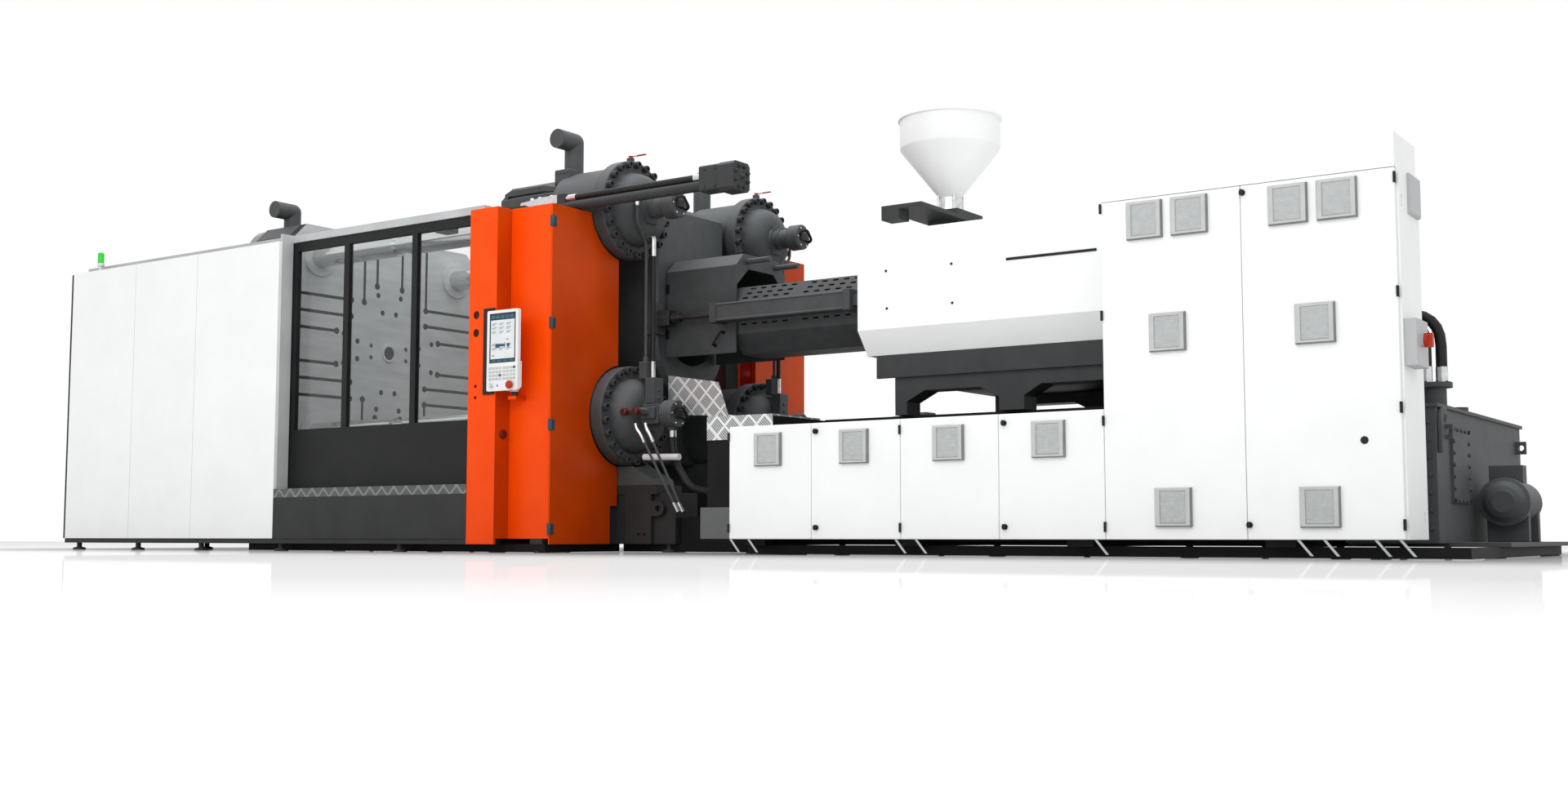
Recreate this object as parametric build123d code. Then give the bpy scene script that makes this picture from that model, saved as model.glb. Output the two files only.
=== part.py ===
from build123d import *
import math
import os

# Two-platen injection moulding machine, in millimetres. +X runs from the clamp end to the
# hydraulic power unit, the operator stands on the -Y side, +Z is up and the floor is Z = 0.
# The Y = 0 plane is the machine's centre plane.

# Whole machine
HALF_WIDTH = 1776
FOOT_HEIGHT = 60
FOOT_PAD_R = 55
FOOT_STEM_R = 22
COVER_BASE = 100
COVER_TOP = 2530
SHEET = 30
AXIS_Z = 1810
RUN_GAP = 0.3
FIT_GAP = 0.05

# Stations along X
CLAMP_END_X = -6050
POST_X = -3080
COLUMN_X = -875
SHOULDER_X = -595
DOOR_PLANE_X = -200
CABINET_X = 1522
POWER_UNIT_END_X = 6050

# Beds
BED_TOP = 560
WAY_TOP = 600
BED_FLANGE = 40
BED_WEB = 60
BEAM_Y = (640, 940)
CROSS_MEMBERS_X = (-5900, -4700, -3500, -2300)
CROSS_MEMBER = 60
PLINTH_WIDTH = 120
PLINTH_INSET = 10
PLINTH_BARS_X = (-4700, -3100, -1700)
COVER_FEET_X = (-5900, -5000, -4100, -3050, -1650)
BED_FEET_X = (-5300, -3440, -2240, -900, 240)
INJECTION_FEET_X = (1700, 2900, 4200, 5100)
PEDESTAL_TOP = 498
PEDESTAL_FRONT_Y = -880
PEDESTAL_END_X = 333
PEDESTAL_FACE_X = (-121, 130)
PEDESTAL_CAP = 68
EAR_X = 194
EAR_Z = 322
EAR_R = 56
INJECTION_BEAM_Y = 700
INJECTION_BEAM_TOP = 258
TREAD_X = 960
TREAD_TOP = 945
TREAD_SETBACK = 500
CABLE_BOX_X = 912
CABLE_BOX_TOP = 316
CABLE_BOX_PROUD = 14
SLOPE_GUARD_Y = -706

# Clamp covers and their seams
COVER_SEAMS_X = (-5054, -4165)
SEAM = 4
POST_DEPTH = 114
POST_THICK = 24
TRACK_HEIGHT = 60
TRACK_INSET = 5

# Safety door and step
DOOR_SETBACK = 150
DOOR_THICK = 40
DOOR_BOTTOM = 505
WINDOW_BOTTOM = 985
DOOR_FRAME = 70
MULLIONS_X = (-2426, -1636)
MULLION_WIDTH = 60
PANE_THICK = 8
STEP_TOP = 500
STEP_BOTTOM = 430
DOOR_TRAVEL = 2100

# Corner column
COLUMN_TOP = 2530
COLUMN_BASE = 60
COLUMN_SHEET = 20
COLUMN_NOTCH = 80
COLUMN_NOTCH_TOP = 344
COLUMN_DOOR_REAR_Y = -890
COLUMN_DOOR_SHEET = 9
COLUMN_HOLE_X = -800
COLUMN_HOLES = ((1740, 30), (1607, 30), (1213, 13), (1130, 13))
COLUMN_HINGES_Z = (2402, 1656, 918, 170)
COLUMN_HINGE_HEIGHT = 84
COLUMN_HINGE_LEAF = 22

# Tie bars and clamp cylinders
TIE_SPACING_Y = 1646
TIE_SPACING_Z = 1576
TIE_R = 95
TIE_LEFT_X = -5850
PISTON_R = 285
PISTON_LENGTH = 160
PISTON_STROKE = 50
CYLINDER_R = 345
FLANGE_R = 377
FLANGE_THICK = 102
FLANGE_FRONT_X = -88
SCREW_COUNT = 22
SCREW_CIRCLE_R = 348
SCREW_HEAD_R = 27
SCREW_HEAD_HEIGHT = 42
DOME_R = 270
DOME_HEIGHT = 150
SENSOR_R = 78
SENSOR_LENGTH = 170
SENSOR_CAP_R = 105
SENSOR_CAP_LENGTH = 110

# Platens
PLATEN_HALF_WIDTH = 1085
PLATEN_BOTTOM = 720
PLATEN_TOP = 2880
PLATEN_CORNER = 120
FIXED_FACE_X = -1250
FIXED_THICK = 600
MOVING_FACE_X = -3755
MOVING_THICK = 550
OPENING_STROKE = 1750
SLOT_PITCH = 150
SLOT_WIDTH = 28
SLOT_UNDERCUT = 46
SLOT_DEPTH = 55
SLOT_END_R = 30
SLOT_ENDS = (610, 448, 448)
HUB_END_X = -190
HUB_HALF_WIDTH = 450
HUB_TOP = 2740
HUB_ROUND_Z = 1665
HUB_MOUTH_R = 330
CLEVIS_X = (-165, -46)
CLEVIS_PLATE_Z = (1690, 1935)
BOLLARD_R = 75
BOLLARD_REACH = 200
FIXED_BOLLARD_RISE = 327
MOVING_BOLLARD_RISE = 165
FIXED_BOLLARD_IN = 70
MOVING_BOLLARD_IN = 168
LOCATING_R = 62.5
MOULD_HOLE_R = 25
EJECTOR_HOLE_R = 15
HOLE_DEPTH = 70
BUSH_R = 170
BUSH_THICK = 25

# Lock nuts behind the moving platen
LOCK_THICK = 150
LOCK_R = 240
LOCK_TRAVEL = 60
LOCK_TOOTH = 20
LOCK_TOOTH_WIDTH = 60
LOCK_GROOVE_GAP = 2

# Ejector
EJECTOR_ROD_R = 20
EJECTOR_PLATE_THICK = 60
EJECTOR_TRAVEL = 250
EJECTOR_OFFSET_Y = 210
EJECTOR_OFFSET_Z = 54

# Traverse cylinders
TRAVERSE_PLACE = 0.441
TRAVERSE_Z = 2574
TRAVERSE_LEFT_X = -1690
TRAVERSE_RIGHT_X = 1304
TRAVERSE_R = 38
TRAVERSE_BORE = 30
TRAVERSE_ROD_R = 22
TRAVERSE_HEAD = 186
TRAVERSE_END_HEAD = 135
TRAVERSE_STUD = 32
TRAVERSE_CLEARANCE = 22
TRAVERSE_UNION_X = -342
TRAVERSE_HOSE_R = 24

# Injection unit
GUARD_X = (-178, 503)
GUARD_HALF_WIDTH = 328
GUARD_Z = (1515, 2290)
GUARD_CHAMFER = 98
GUARD_SHEET = 12
GUARD_MOUTH_TOP = 2176
GUARD_MOUTH_HALF = 165
GUARD_MOUTH_SLOPE = 135
GUIDE_BAR_R = 22
GUIDE_BAR_Y = 190
GUIDE_BAR_Z = 2234
GUIDE_BAR_END_X = 725
BARREL_R = 130
BARREL_BORE = 55
NOZZLE_R = 45
BARREL_COVER_X = (445, 1960)
BARREL_COVER_HALF = 300
BULKHEADS_X = (600, 1900)
BARREL_COVER_LEVELS = (1512, 1660, 1905, 2025)
BARREL_COVER_SHEET = 10
CARRIAGE_Y = 420
CARRIAGE_CYLINDER_X = (372, 1636)
CARRIAGE_CYLINDER_SIDE = 150
CARRIAGE_TRAVEL = 450
INJECTION_COVER_X = (2006, 5150)
INJECTION_COVER_HALF = 976
INJECTION_COVER_LEVELS = (1340, 1502, 1980, 2190)
INJECTION_COVER_SLOPE = 130
INJECTION_SKIN = 15
SKIRT_Z = (1200, 1340)
SKIRT_LEFT_X = 2075
RAIL_TOP = 930
PEDESTAL_X = (2205, 5000)
SCREW_TRAVEL = 400
GUIDE_R = 50
GUIDE_Y = 300
DRIVE_X = (3000, 3300)

# Hopper
HOPPER_X = 2190
HOPPER_R = 363
HOPPER_RIM_Z = 3145
HOPPER_CONE_Z = 2915
HOPPER_NECK_Z = 2560
HOPPER_NECK_R = 70
HOPPER_WALL = 6
HOPPER_TRAVEL = 450
SLIDE_PLATE_Z = 2400
SLIDE_PLATE_THICK = 30
SLIDE_HALF_WIDTH = 160
SLIDE_FRONT_Y = -700

# Cabinets
LOWER_DOOR_WIDTHS = (639, 647, 661, 658)
LOWER_TOP = 825
LOWER_DEPTH = 560
ELECTRIC_WIDTH = 1600
ELECTRIC_TOP = 2175
ELECTRIC_DEPTH = 426
ELECTRIC_DOOR_TOP = 1990
END_PANEL_PROUD = 12
SWITCH_BOX_DEPTH = 63
SWITCH_INSET_Y = (41, 266)
SWITCH_INSET = 151
SWITCH_Z = 1110
SWITCH_BOX_Z = (976, 1215)
END_SLOTS = ((73, 1826), (353, 211))
END_FILTER = (192, 1990)
DOOR_SKIN = 22
DOOR_GAP = 3
FILTER_WIDTH = 206
FILTER_HEIGHT = 212
FILTER_PROUD = 26
FILTER_BEVEL = 8
KNOB_R = 17
KNOB_HEIGHT = 30
KNOB_SHAFT_R = 8
KNOB_TURN = 90
HINGE_HEIGHT = 56
HINGE_OFFSET = 8
HINGE_R = 7.7
HINGE_LEAF = 1.6
KNOB_INSET = 39
ELECTRIC_KNOB_INSET = 13
LOWER_FILTER_INSETS = (210, 219, 232, 219)
LOWER_FILTER_TOP = 776
LOWER_KNOBS_Z = (772, 172)
ELECTRIC_KNOBS_Z = (1951, 178)
LEFT_FILTERS = ((159, 1970), (416, 1970), (281, 1337), (296, 381))
RIGHT_FILTERS = ((154, 1965), (408, 1965), (281, 1326), (282, 374))
LOWER_HINGES_Z = (760, 170)
LEFT_HINGES_Z = (1955, 1350, 763)
RIGHT_HINGES_Z = (1937, 1352, 764, 175)

# Control panel
PANEL_X = (-657, -348)
PANEL_Z = (1165, 1753)
PANEL_PROUD = 30
PANEL_THICK = 28
PANEL_CORNER = 14
PANEL_PIVOT_X = -470
PANEL_PIVOT_BACK = 100
PANEL_BUTTONS_X = (-600, -548, -410)
PANEL_BUTTONS_UP = 38

# Power unit at the right end
TANK_X = (5250, 5740)
TANK_TOP = 829
TANK_BEHIND = 220
TANK_BASE_IN = 230
MOTOR_R = 138
MOTOR_X = 5912
MOTOR_Z = 313
MOTOR_Y = (-376, 120)
BASE_PLATE_TOP = 85
RISER_X = 5660
RISER_IN = 354
RISER_HEIGHT = 138

# Pipes and hoses on the clamp cylinders
PIPE_R = 12
PIPE_BEND = 60
PIPE_TOP = (82, 182, 2640)
PIPE_KNEE_Z = 2455
PIPE_LINE = (38, 17, 2324)
HOSE_R = 18
HOSE_X = 94
HOSE_DROP = 228
PORT_END = 52
PORT_R = 24
MANIFOLD_X = (0, 66, 150)
MANIFOLD_HALF = 60
MANIFOLD_TOP = 1425
MANIFOLD_SHELF = 1290
SUPPLY_X = 287
SUPPLY_TOP = 900
SUPPLY_BENDS = ((287, 800), (315, 665), (447, 476), (600, 443))
SUPPLY_R = 28


def block(x0, x1, y0, y1, z0, z1):
    """Box between two opposite corners."""
    return Pos((x0 + x1) / 2, (y0 + y1) / 2, (z0 + z1) / 2) * Box(
        abs(x1 - x0), abs(y1 - y0), abs(z1 - z0)
    )


def bar_x(x0, x1, y, z, radius):
    """Round bar along X."""
    return Pos((x0 + x1) / 2, y, z) * Rot(0, 90, 0) * Cylinder(radius, abs(x1 - x0))


def bar_y(y0, y1, x, z, radius):
    """Round bar along Y."""
    return Pos(x, (y0 + y1) / 2, z) * Rot(90, 0, 0) * Cylinder(radius, abs(y1 - y0))


def bar_z(z0, z1, x, y, radius):
    """Round bar along Z."""
    return Pos(x, y, (z0 + z1) / 2) * Cylinder(radius, abs(z1 - z0))


def prism_x(points, x0, x1):
    """Section of (y, z) points, extruded along X."""
    plane = Plane(origin=(x0, 0, 0), x_dir=(0, 1, 0), z_dir=(1, 0, 0))
    return extrude(plane * Polygon(*points, align=None), amount=x1 - x0, dir=(1, 0, 0))


def prism_y(points, y0, y1):
    """Section of (x, z) points, extruded along Y."""
    plane = Plane(origin=(0, y1, 0), x_dir=(1, 0, 0), z_dir=(0, -1, 0))
    return extrude(plane * Polygon(*points, align=None), amount=y1 - y0, dir=(0, -1, 0))


def prism_z(points, z0, z1):
    """Outline of (x, y) points, extruded along Z."""
    plane = Plane(origin=(0, 0, z0), x_dir=(1, 0, 0), z_dir=(0, 0, 1))
    return extrude(plane * Polygon(*points, align=None), amount=z1 - z0, dir=(0, 0, 1))


def turned_x(profile, y, z):
    """Profile of (x, radius) points, turned about an axis along X."""
    sketch = Plane.XY * Polygon(*profile, align=None)
    return Pos(0, y, z) * revolve(sketch, Axis.X)


def rear(shape):
    """Mirror image on the rear side of the machine."""
    return mirror(shape, about=Plane.XZ)


def both_sides(shape):
    """The shape and its mirror image on the rear side."""
    return [shape, rear(shape)]


def joined(shapes):
    """All the shapes fused into one."""
    first, *others = shapes
    return first.fuse(*others) if others else first


NODES = {}


def write(name, *shapes):
    """Keep every solid of the given shapes as one named node and write its file."""
    solids = [solid for shape in shapes for solid in shape.solids()]
    NODES[name] = Compound(children=solids)
    export_step(NODES[name], f"parts/{name}.step")


# Values that follow from the driving sizes
TIE_CENTRES = [
    (side_y * TIE_SPACING_Y / 2, AXIS_Z + side_z * TIE_SPACING_Z / 2)
    for side_z in (1, -1)
    for side_y in (-1, 1)
]
UPPER_Z = AXIS_Z + TIE_SPACING_Z / 2
LOWER_Z = AXIS_Z - TIE_SPACING_Z / 2
FIXED_REAR_X = FIXED_FACE_X + FIXED_THICK
FLANGE_REAR_X = FLANGE_FRONT_X - FLANGE_THICK
MOVING_REAR_X = MOVING_FACE_X - MOVING_THICK
LOCK_X = (MOVING_REAR_X - LOCK_THICK - RUN_GAP, MOVING_REAR_X - RUN_GAP)
LOCK_CENTRE_X = sum(LOCK_X) / 2
DOOR_FRONT_Y = -(HALF_WIDTH - DOOR_SETBACK)
DOOR_REAR_Y = DOOR_FRONT_Y + DOOR_THICK
TRAVERSE_Y = PLATEN_HALF_WIDTH + TRAVERSE_PLACE * (-DOOR_REAR_Y - PLATEN_HALF_WIDTH)
COLUMN_DOOR_Y = DOOR_FRONT_Y - 3
PANEL_FRONT_Y = -HALF_WIDTH - PANEL_PROUD
PANEL_PIVOT = (PANEL_PIVOT_X, PANEL_FRONT_Y + PANEL_PIVOT_BACK)
TREAD_FRONT_Y = -HALF_WIDTH + TREAD_SETBACK
LOWER_END_X = CABINET_X + sum(LOWER_DOOR_WIDTHS)
ELECTRIC_END_X = LOWER_END_X + ELECTRIC_WIDTH
END_PANEL_X = ELECTRIC_END_X + END_PANEL_PROUD
ELECTRIC_MIDDLE_X = LOWER_END_X + ELECTRIC_WIDTH / 2
SWITCH_Y = -HALF_WIDTH + SWITCH_INSET
TANK_HALF = HALF_WIDTH - ELECTRIC_DEPTH - TANK_BEHIND
TANK_BASE_HALF = TANK_HALF - TANK_BASE_IN
RISER_Y = -TANK_HALF + RISER_IN


# Beds, plinth and feet

def clamp_bed():
    """Welded bed of the clamp: two beams with ways, cross members and platen pedestals."""
    parts = []
    left, right = CLAMP_END_X + 100, FIXED_FACE_X
    under = BED_TOP - BED_FLANGE
    for side in (-1, 1):
        inner, outer = (side * y for y in BEAM_Y)
        middle = (inner + outer) / 2
        parts.append(block(left, right, inner, outer, FOOT_HEIGHT, FOOT_HEIGHT + BED_FLANGE))
        parts.append(block(left, right, inner, outer, under, BED_TOP))
        parts.append(block(left, right, middle - BED_WEB / 2, middle + BED_WEB / 2,
                           FOOT_HEIGHT + BED_FLANGE, under))
        parts.append(block(left + 100, right, middle - 90, middle + 90, BED_TOP, WAY_TOP))
    for x in CROSS_MEMBERS_X:
        parts.append(block(x, x + CROSS_MEMBER, -BEAM_Y[1], BEAM_Y[1], FOOT_HEIGHT + BED_FLANGE, under))
    parts += both_sides(pedestal())
    return joined(parts)


def plinth():
    """Flat bars under the covers, one solid each, butted against the bed and one another."""
    bars = []
    outer = HALF_WIDTH - PLINTH_INSET
    inner = outer - PLINTH_WIDTH
    left = CLAMP_END_X + PLINTH_INSET
    top = COVER_BASE
    for side in (-1, 1):
        bars.append(block(left, COLUMN_X - 5, side * inner, side * outer, FOOT_HEIGHT, top))
        for x in PLINTH_BARS_X:
            bars.append(block(x, x + PLINTH_WIDTH, side * BEAM_Y[1], side * inner, FOOT_HEIGHT, top))
        reach = -COLUMN_DOOR_Y - 4
        for x in (COLUMN_X + 60, DOOR_PLANE_X - 180):
            near = -(PLATEN_HALF_WIDTH + 30)
            bars.append(block(x, x + PLINTH_WIDTH, side * near, -side * reach, FOOT_HEIGHT, top))
    bars.append(block(left, CLAMP_END_X + 100, -inner, inner, FOOT_HEIGHT, top))
    return bars


def pedestal():
    """Block under the fixed platen with its top plate, machined pad and lifting ear."""
    front = PEDESTAL_FRONT_Y
    back = front + 300
    wide = -(PLATEN_HALF_WIDTH + 30)
    left, right = FIXED_FACE_X, PEDESTAL_END_X
    cap = PEDESTAL_TOP - PEDESTAL_CAP
    under = block(left, DOOR_PLANE_X - 15, wide, back, FOOT_HEIGHT, PEDESTAL_TOP)
    body = block(left, right, front + 40, back, FOOT_HEIGHT, cap + 10)
    plate = block(left, right - 150, front, back, cap, PEDESTAL_TOP)
    pad = block(PEDESTAL_FACE_X[0], PEDESTAL_FACE_X[1], front, front + 50, FOOT_HEIGHT, cap)
    foot_block = block(DOOR_PLANE_X - 20, PEDESTAL_FACE_X[0], front + 14, front + 50, FOOT_HEIGHT, cap)
    ear = bar_y(front, front + 60, EAR_X, EAR_Z, EAR_R)
    ear += block(PEDESTAL_FACE_X[1] - 1, EAR_X, front, front + 60, EAR_Z - EAR_R, EAR_Z + EAR_R)
    ear -= bar_y(front - 5, front + 45, EAR_X, EAR_Z, EAR_R * 0.4)
    solid = joined([under, body, plate, pad, foot_block, ear])
    for x in (10, 70):
        solid -= bar_y(front - 1, front + 40, x, 130, 11)
    return solid


def kick_panel():
    """Dark panel under the step of the safety door."""
    return block(POST_X, COLUMN_X - 5, -HALF_WIDTH, -HALF_WIDTH + SHEET, COVER_BASE, STEP_BOTTOM)


def levelling_feet():
    """Machine feet: a round pad, a stem and a nut under each support point."""
    feet = []
    for side in (-1, 1):
        for x in COVER_FEET_X:
            feet.append(foot(x, side * (HALF_WIDTH - 70)))
        for x in (COLUMN_X + 120, DOOR_PLANE_X - 120):
            feet.append(foot(x, side * (HALF_WIDTH - 210)))
        for x in (TANK_X[0] + 100, POWER_UNIT_END_X - 100):
            feet.append(foot(x, side * (TANK_BASE_HALF - 100)))
    for x in BED_FEET_X:
        for y in (-sum(BEAM_Y) / 2, sum(BEAM_Y) / 2):
            feet.append(foot(x, y))
    for x in INJECTION_FEET_X:
        for y in (-INJECTION_BEAM_Y, INJECTION_BEAM_Y):
            feet.append(foot(x, y))
    return feet


def foot(x, y):
    """One levelling foot, from the floor to the bed."""
    profile = [(0, 0), (FOOT_PAD_R, 0), (FOOT_PAD_R, 14), (FOOT_STEM_R, 24), (FOOT_STEM_R, FOOT_HEIGHT),
               (0, FOOT_HEIGHT)]
    return Pos(x, y, 0) * revolve(Plane.XZ * Polygon(*profile, align=None), Axis.Z)


def injection_bed():
    """Bed of the injection unit: two deep beams, cross members, the rails and the tread's base."""
    parts = []
    left, right = PEDESTAL_END_X, TANK_X[0] - 50
    for side in (-1, 1):
        y = side * INJECTION_BEAM_Y
        parts.append(block(left, right, y - 90, y + 90, FOOT_HEIGHT, INJECTION_BEAM_TOP))
        parts.append(block(CABINET_X + 60, right, y - 60, y + 60, INJECTION_BEAM_TOP, RAIL_TOP - 60))
        parts.append(block(CABINET_X + 60, right, y - 35, y + 35, RAIL_TOP - 60, RAIL_TOP))
    for x in skids_x():
        parts.append(block(x, x + CROSS_MEMBER, -INJECTION_BEAM_Y, INJECTION_BEAM_Y, COVER_BASE,
                           RAIL_TOP - 200))
    parts.append(block(TREAD_X, TREAD_X + 60, 600, 900, INJECTION_BEAM_TOP - 1, 520))
    base_top = TREAD_TOP - 12
    parts.append(block(TREAD_X, CABINET_X - 5, TREAD_FRONT_Y, -600, CABLE_BOX_TOP, base_top))
    parts.append(block(CABINET_X - 150, CABINET_X - 5, -INJECTION_BEAM_Y - 60, -INJECTION_BEAM_Y,
                       INJECTION_BEAM_TOP - 1, CABLE_BOX_TOP + 6))
    return joined(parts)


def skids_x():
    """Stations of the injection bed's cross members, evenly spaced under the cabinets."""
    first, last = CABINET_X + 80, TANK_X[0] - 250
    return [first + (last - first) * index / 3 for index in range(4)]


def skids():
    """Flat bars that carry the cabinets, one solid each, butted against the bed's beams."""
    edge = HALF_WIDTH - 60
    inner = INJECTION_BEAM_Y + 90
    bars = []
    for x in skids_x():
        for side in (-1, 1):
            bars.append(block(x, x + 160, side * inner, side * edge, FOOT_HEIGHT, COVER_BASE))
    return bars


def cable_box():
    """Light grey box for the cable glands, low beside the cabinets."""
    front = TREAD_FRONT_Y - CABLE_BOX_PROUD
    return block(CABLE_BOX_X, CABINET_X - 5, front, -INJECTION_BEAM_Y - 90 - 60, COVER_BASE, CABLE_BOX_TOP)


# Covers, posts, step

def clamp_covers():
    """White sheet covers round the clamp end: three panels a side and the end panel."""
    edges = (CLAMP_END_X, *COVER_SEAMS_X, POST_X)
    panels = []
    for left, right in zip(edges, edges[1:]):
        end = right if right == POST_X else right - SEAM
        panel = block(left, end, -HALF_WIDTH, -HALF_WIDTH + SHEET, COVER_BASE, COVER_TOP)
        panels += both_sides(panel)
    inner = HALF_WIDTH - SHEET
    panels.append(block(CLAMP_END_X, CLAMP_END_X + SHEET, -inner, inner, COVER_BASE, COVER_TOP))
    return panels


def door_tracks():
    """Bright posts at the door opening and the top track that the door hangs in."""
    post = block(POST_X - POST_THICK, POST_X, -HALF_WIDTH + SHEET, -HALF_WIDTH + SHEET + POST_DEPTH - 4,
                 COVER_BASE, COVER_TOP)
    track = block(CLAMP_END_X + SHEET, COLUMN_X, DOOR_FRONT_Y - 10, DOOR_REAR_Y + 30,
                  COVER_TOP + 5, COVER_TOP + 5 + TRACK_HEIGHT)
    track -= block(CLAMP_END_X, COLUMN_X + 1, DOOR_FRONT_Y + TRACK_INSET, DOOR_REAR_Y - TRACK_INSET,
                   COVER_TOP, COVER_TOP + 25)
    hanger = block(POST_X - POST_THICK, POST_X, -HALF_WIDTH + SHEET, DOOR_FRONT_Y - 10,
                   COVER_TOP, COVER_TOP + 5 + TRACK_HEIGHT)
    side = joined([post, track, hanger])
    return both_sides(side)


def chequer_plates():
    """Patterned aluminium plates: a step under each door and a guard by the purge area."""
    step = block(POST_X, COLUMN_X - 5, -HALF_WIDTH, DOOR_FRONT_Y - 5, STEP_BOTTOM, STEP_TOP)
    step -= block(POST_X - 1, COLUMN_X, -HALF_WIDTH + 6, DOOR_FRONT_Y, STEP_BOTTOM - 1, STEP_TOP - 6)
    tread = block(TREAD_X, CABINET_X - 5, TREAD_FRONT_Y, -700, TREAD_TOP - 12, TREAD_TOP)
    lip = block(TREAD_X, CABINET_X - 5, TREAD_FRONT_Y - 6, TREAD_FRONT_Y, TREAD_TOP - 165, TREAD_TOP)
    arm = block(600, TREAD_X + 5, SLOPE_GUARD_Y - 54, SLOPE_GUARD_Y + 6, TREAD_TOP - 12, TREAD_TOP)
    slope = prism_y(
        [(150, 1024), (150, 1327), (621, 1252), (712, 1007), (TREAD_X, 975), (TREAD_X, TREAD_TOP - 1),
         (605, TREAD_TOP - 1), (516, 1010)],
        SLOPE_GUARD_Y, SLOPE_GUARD_Y + 6,
    )
    return [*both_sides(step), joined([tread, lip, arm, slope])]


def corner_column():
    """Folded column at the corner of the fixed platen, without its side door."""
    front = -HALF_WIDTH
    step_y = front + DOOR_SETBACK - 3
    t = COLUMN_SHEET
    outline = [
        (COLUMN_X, front), (SHOULDER_X, front), (SHOULDER_X, step_y), (DOOR_PLANE_X, step_y),
        (DOOR_PLANE_X, step_y + t), (SHOULDER_X - t, step_y + t), (SHOULDER_X - t, front + t),
        (COLUMN_X + t, front + t), (COLUMN_X + t, step_y + 60), (COLUMN_X, step_y + 60),
    ]
    column = prism_z(outline, COLUMN_BASE + 40, COLUMN_TOP)
    column += block(COLUMN_X, SHOULDER_X, front, front + t, COLUMN_BASE, COLUMN_BASE + 40)
    for z, radius in COLUMN_HOLES:
        column -= bar_y(front - 1, front + t + 1, COLUMN_HOLE_X, z, radius)
    top = prism_z(
        [(COLUMN_X, front), (SHOULDER_X, front), (SHOULDER_X, step_y), (DOOR_PLANE_X - 40, step_y),
         (DOOR_PLANE_X - 40, step_y + 250), (COLUMN_X, step_y + 250)],
        COLUMN_TOP - 12, COLUMN_TOP,
    )
    return joined([column, top])


def column_door_panel():
    """Side door of the column, cut away round the two clamp cylinders."""
    y0 = COLUMN_DOOR_Y + 2
    y1 = COLUMN_DOOR_REAR_Y
    x0 = DOOR_PLANE_X + RUN_GAP
    points = [
        (y0, COLUMN_BASE), (y1 - COLUMN_NOTCH, COLUMN_BASE), (y1 - COLUMN_NOTCH, COLUMN_NOTCH_TOP),
        (y1, COLUMN_NOTCH_TOP), (y1, COLUMN_TOP - 190), (y1 - 300, COLUMN_TOP), (y0, COLUMN_TOP),
    ]
    panel = prism_x(points, x0, x0 + COLUMN_DOOR_SHEET)
    for z in (UPPER_Z, LOWER_Z):
        panel -= bar_x(x0 - 5, x0 + 20, -TIE_SPACING_Y / 2, z, FLANGE_R + 12)
    return panel


def rear_side_panel():
    """The rear column's side panel: screwed on, with a hole for the lower traverse cylinder."""
    panel = Pos(-RUN_GAP, 0, 0) * rear(column_door_panel())
    level = 2 * AXIS_Z - TRAVERSE_Z
    drop = TRAVERSE_R + TRAVERSE_HOSE_R + RUN_GAP
    for z, radius in ((level, TRAVERSE_R), (level - drop, TRAVERSE_HOSE_R)):
        panel -= bar_x(DOOR_PLANE_X - 5, DOOR_PLANE_X + 20, TRAVERSE_Y, z, radius + TRAVERSE_CLEARANCE)
    return panel


# Platens

def slot_cutter(x_face, into):
    """T-slots of one mould platen, to be cut from its face; into is -1 or +1 along X."""
    cutters = []
    far = PLATEN_HALF_WIDTH + 100
    for index, end in enumerate(SLOT_ENDS, start=1):
        offset = index * SLOT_PITCH
        for across in (-1, 1):
            for away in (-1, 1):
                cutters += slot_pair(x_face, into, offset * across, end * away, far * away)
    return cutters


def slot_pair(x_face, into, offset, end, far):
    """One horizontal and one vertical T-slot at the same offset, each with a round end."""
    deep = into * SLOT_DEPTH
    half, wide = SLOT_WIDTH / 2, SLOT_UNDERCUT / 2
    level = AXIS_Z + offset
    narrow = [
        block(x_face - into, x_face + deep, end, far, level - half, level + half),
        block(x_face - into, x_face + deep, offset - half, offset + half, AXIS_Z + end, AXIS_Z + far),
    ]
    under = [
        block(x_face + deep / 2, x_face + deep, end, far, level - wide, level + wide),
        block(x_face + deep / 2, x_face + deep, offset - wide, offset + wide, AXIS_Z + end, AXIS_Z + far),
    ]
    rounds = [
        bar_x(x_face - into, x_face + deep, end, level, SLOT_END_R),
        bar_x(x_face - into, x_face + deep, offset, AXIS_Z + end, SLOT_END_R),
    ]
    return narrow + under + rounds


def platen_outline(x0, x1):
    """Square platen with cut corners, between two X stations."""
    w, c = PLATEN_HALF_WIDTH, PLATEN_CORNER
    return prism_x(
        [(-w, PLATEN_BOTTOM + c), (-w + c, PLATEN_BOTTOM), (w - c, PLATEN_BOTTOM), (w, PLATEN_BOTTOM + c),
         (w, PLATEN_TOP - c), (w - c, PLATEN_TOP), (-w + c, PLATEN_TOP), (-w, PLATEN_TOP - c)],
        x0, x1,
    )


def mould_holes():
    """Positions of the mould screw holes, (y, z) offsets from the machine axis."""
    places = []
    for a, b in ((80, 370), (135, 528)):
        for sa in (-1, 1):
            for sb in (-1, 1):
                places += [(sa * a, sb * b), (sb * b, sa * a)]
    return places


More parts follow.
